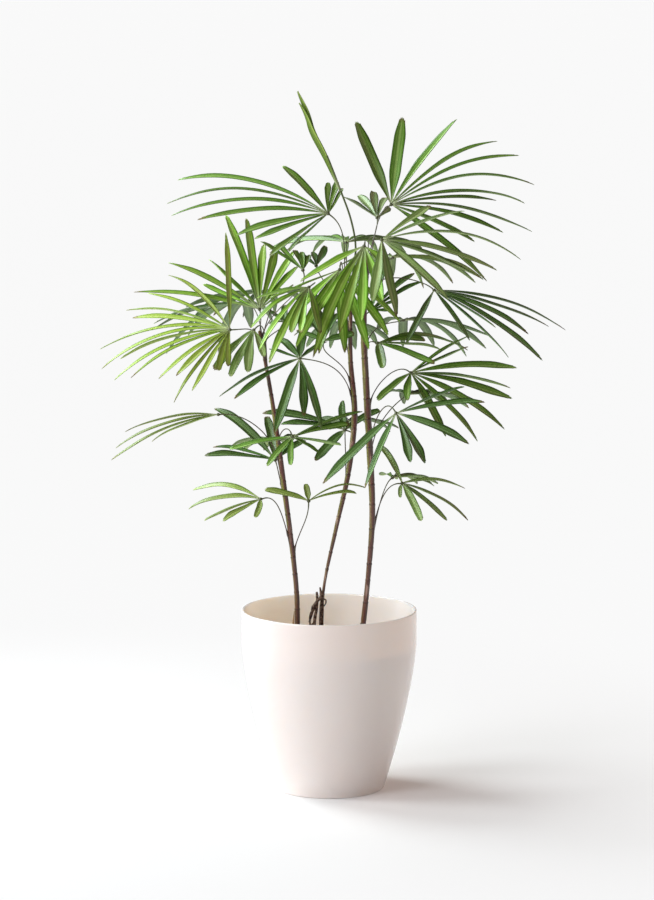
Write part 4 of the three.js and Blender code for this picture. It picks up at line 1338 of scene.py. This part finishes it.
def makeSpear():
    corners, faces, units = [], [], []
    for blade in spearLook["blades"]:
        spearBlade(blade, corners, faces, units)
    thing = meshThing("spear_blade", [corner * mm for corner in corners], faces=faces)
    putAttribute(thing, "unit", units)
    putAttribute(thing, "shade", [0.0] * len(corners))
    putAttribute(thing, "dry", [spearLook["dry"]] * len(corners))
    thing.data.shade_smooth()
    paint(thing, leafMaterial("leaf spear", spearLook["tones"]))
    material = newMaterial("spear stalk", spearLook["roughness"], Base_Color=spearLook["stem"])[0]
    end, steps = spearLook["stalkEnd"]
    line = [dict(place=through(spearPoints, share), radius=lerp(*spearLook["stalk"], min(share * 4, 1)))
            for share in heights(0, end, steps)]
    stem = tubeThing("spear_stalk", [line], dict(spearLook["sizes"], Material=material))
    for piece in (thing, stem):
        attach(piece, "root")
        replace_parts(piece, "spear")


makeSpear()
print("spear made")


# Studio: a wide pale floor, soft lamps about the plant, and a pale horizon

studio = {
    "floor": (0.87, 0.845, 0.82, 1.0),
    "gloss": (0.9, 0.1),
    "pale": (0.94, 0.94, 0.94, 1.0),        # the floor's glow, and the horizon
    "dark": (0.02, 0.02, 0.02, 1.0),        # the sky above it
    "black": (0.0, 0.0, 0.0, 1.0),
    "middle": (-0.3, 0.1, 0),
    "glow": (0.3, 1.5, 0.3),        # metres from the middle where it grows and is full, and its least
    "contact": (0.1, 0.5, 0.35),    # likewise from the pot's axis
    "horizon": (0.1, 0.16),         # height of the view where pale turns dark
    "reach": 160,                   # metres, radius of the floor
    "sides": 64,
    "lamps": {    # turn in degrees to the right of the camera's side, rise in degrees, metres, watts
        "key": dict(turn=-85, rise=31, away=5.0, size=2.0, power=152.0, colour=(0.92, 1.01, 1.06)),
        "front": dict(turn=-50, rise=24, away=5.0, size=2.4, power=124.0, colour=(0.96, 0.99, 1.07)),
        "back": dict(turn=-125, rise=40, away=5.0, size=2.4, power=212.0, colour=(0.92, 1.02, 1.07)),
        "right": dict(turn=120, rise=45, away=5.0, size=4.0, power=50.0, colour=(1.3, 0.9, 0.75)),
    },
    "aim": (0, 0, 0.5),
}


def makeStudio():
    turns = heights(0, 2 * math.pi, studio["sides"])[:-1]
    rim = [(studio["reach"] * math.cos(turn), studio["reach"] * math.sin(turn), 0) for turn in turns]
    floor = meshThing("floor", rim, faces=[range(len(rim))])
    material, tree, shader = newMaterial("floor", *studio["gloss"])
    place = objectPlace(tree)
    share = (ramp((place - studio["middle"]).vector("LENGTH"), *studio["glow"], 1.0)
             * ramp(place.vector("LENGTH"), *studio["contact"], 1.0))
    plug(shader.inputs["Base Color"], blendColour(tree, share, studio["floor"], studio["black"]))
    plug(shader.inputs["Emission Color"], blendColour(tree, share, studio["black"], studio["pale"]))
    shader.inputs["Emission Strength"].default_value = 1.0
    material.cycles.emission_sampling = "NONE"    # the glow is even, so it is met by chance, not aimed at
    paint(floor, material)

    aim = Vector(studio["aim"])
    for name, lamp in studio["lamps"].items():
        turn, rise = math.radians(lamp["turn"]), math.radians(lamp["rise"])
        toward = Vector((math.sin(turn) * math.cos(rise), -math.cos(turn) * math.cos(rise), math.sin(rise)))
        light = bpy.data.lights.new(name, "AREA")
        light.shape = "DISK"
        light.size = lamp["size"]
        light.energy = lamp["power"]
        light.color = lamp["colour"]
        thing = bpy.data.objects.new(name, light)
        thing.location = aim + toward * lamp["away"]
        thing.rotation_euler = toward.to_track_quat("Z", "Y").to_euler()
        bpy.context.scene.collection.objects.link(thing)

    world = bpy.data.worlds.new("studio")
    world.use_nodes = True
    tree = world.node_tree
    share = ramp(step(tree, "ShaderNodeTexCoord").part("Z"), *studio["horizon"])
    plug(tree.nodes["Background"].inputs["Color"], blendColour(tree, share, studio["pale"], studio["dark"]))
    bpy.context.scene.world = world
    bpy.context.scene.view_settings.view_transform = "Standard"


makeStudio()
print("studio made")
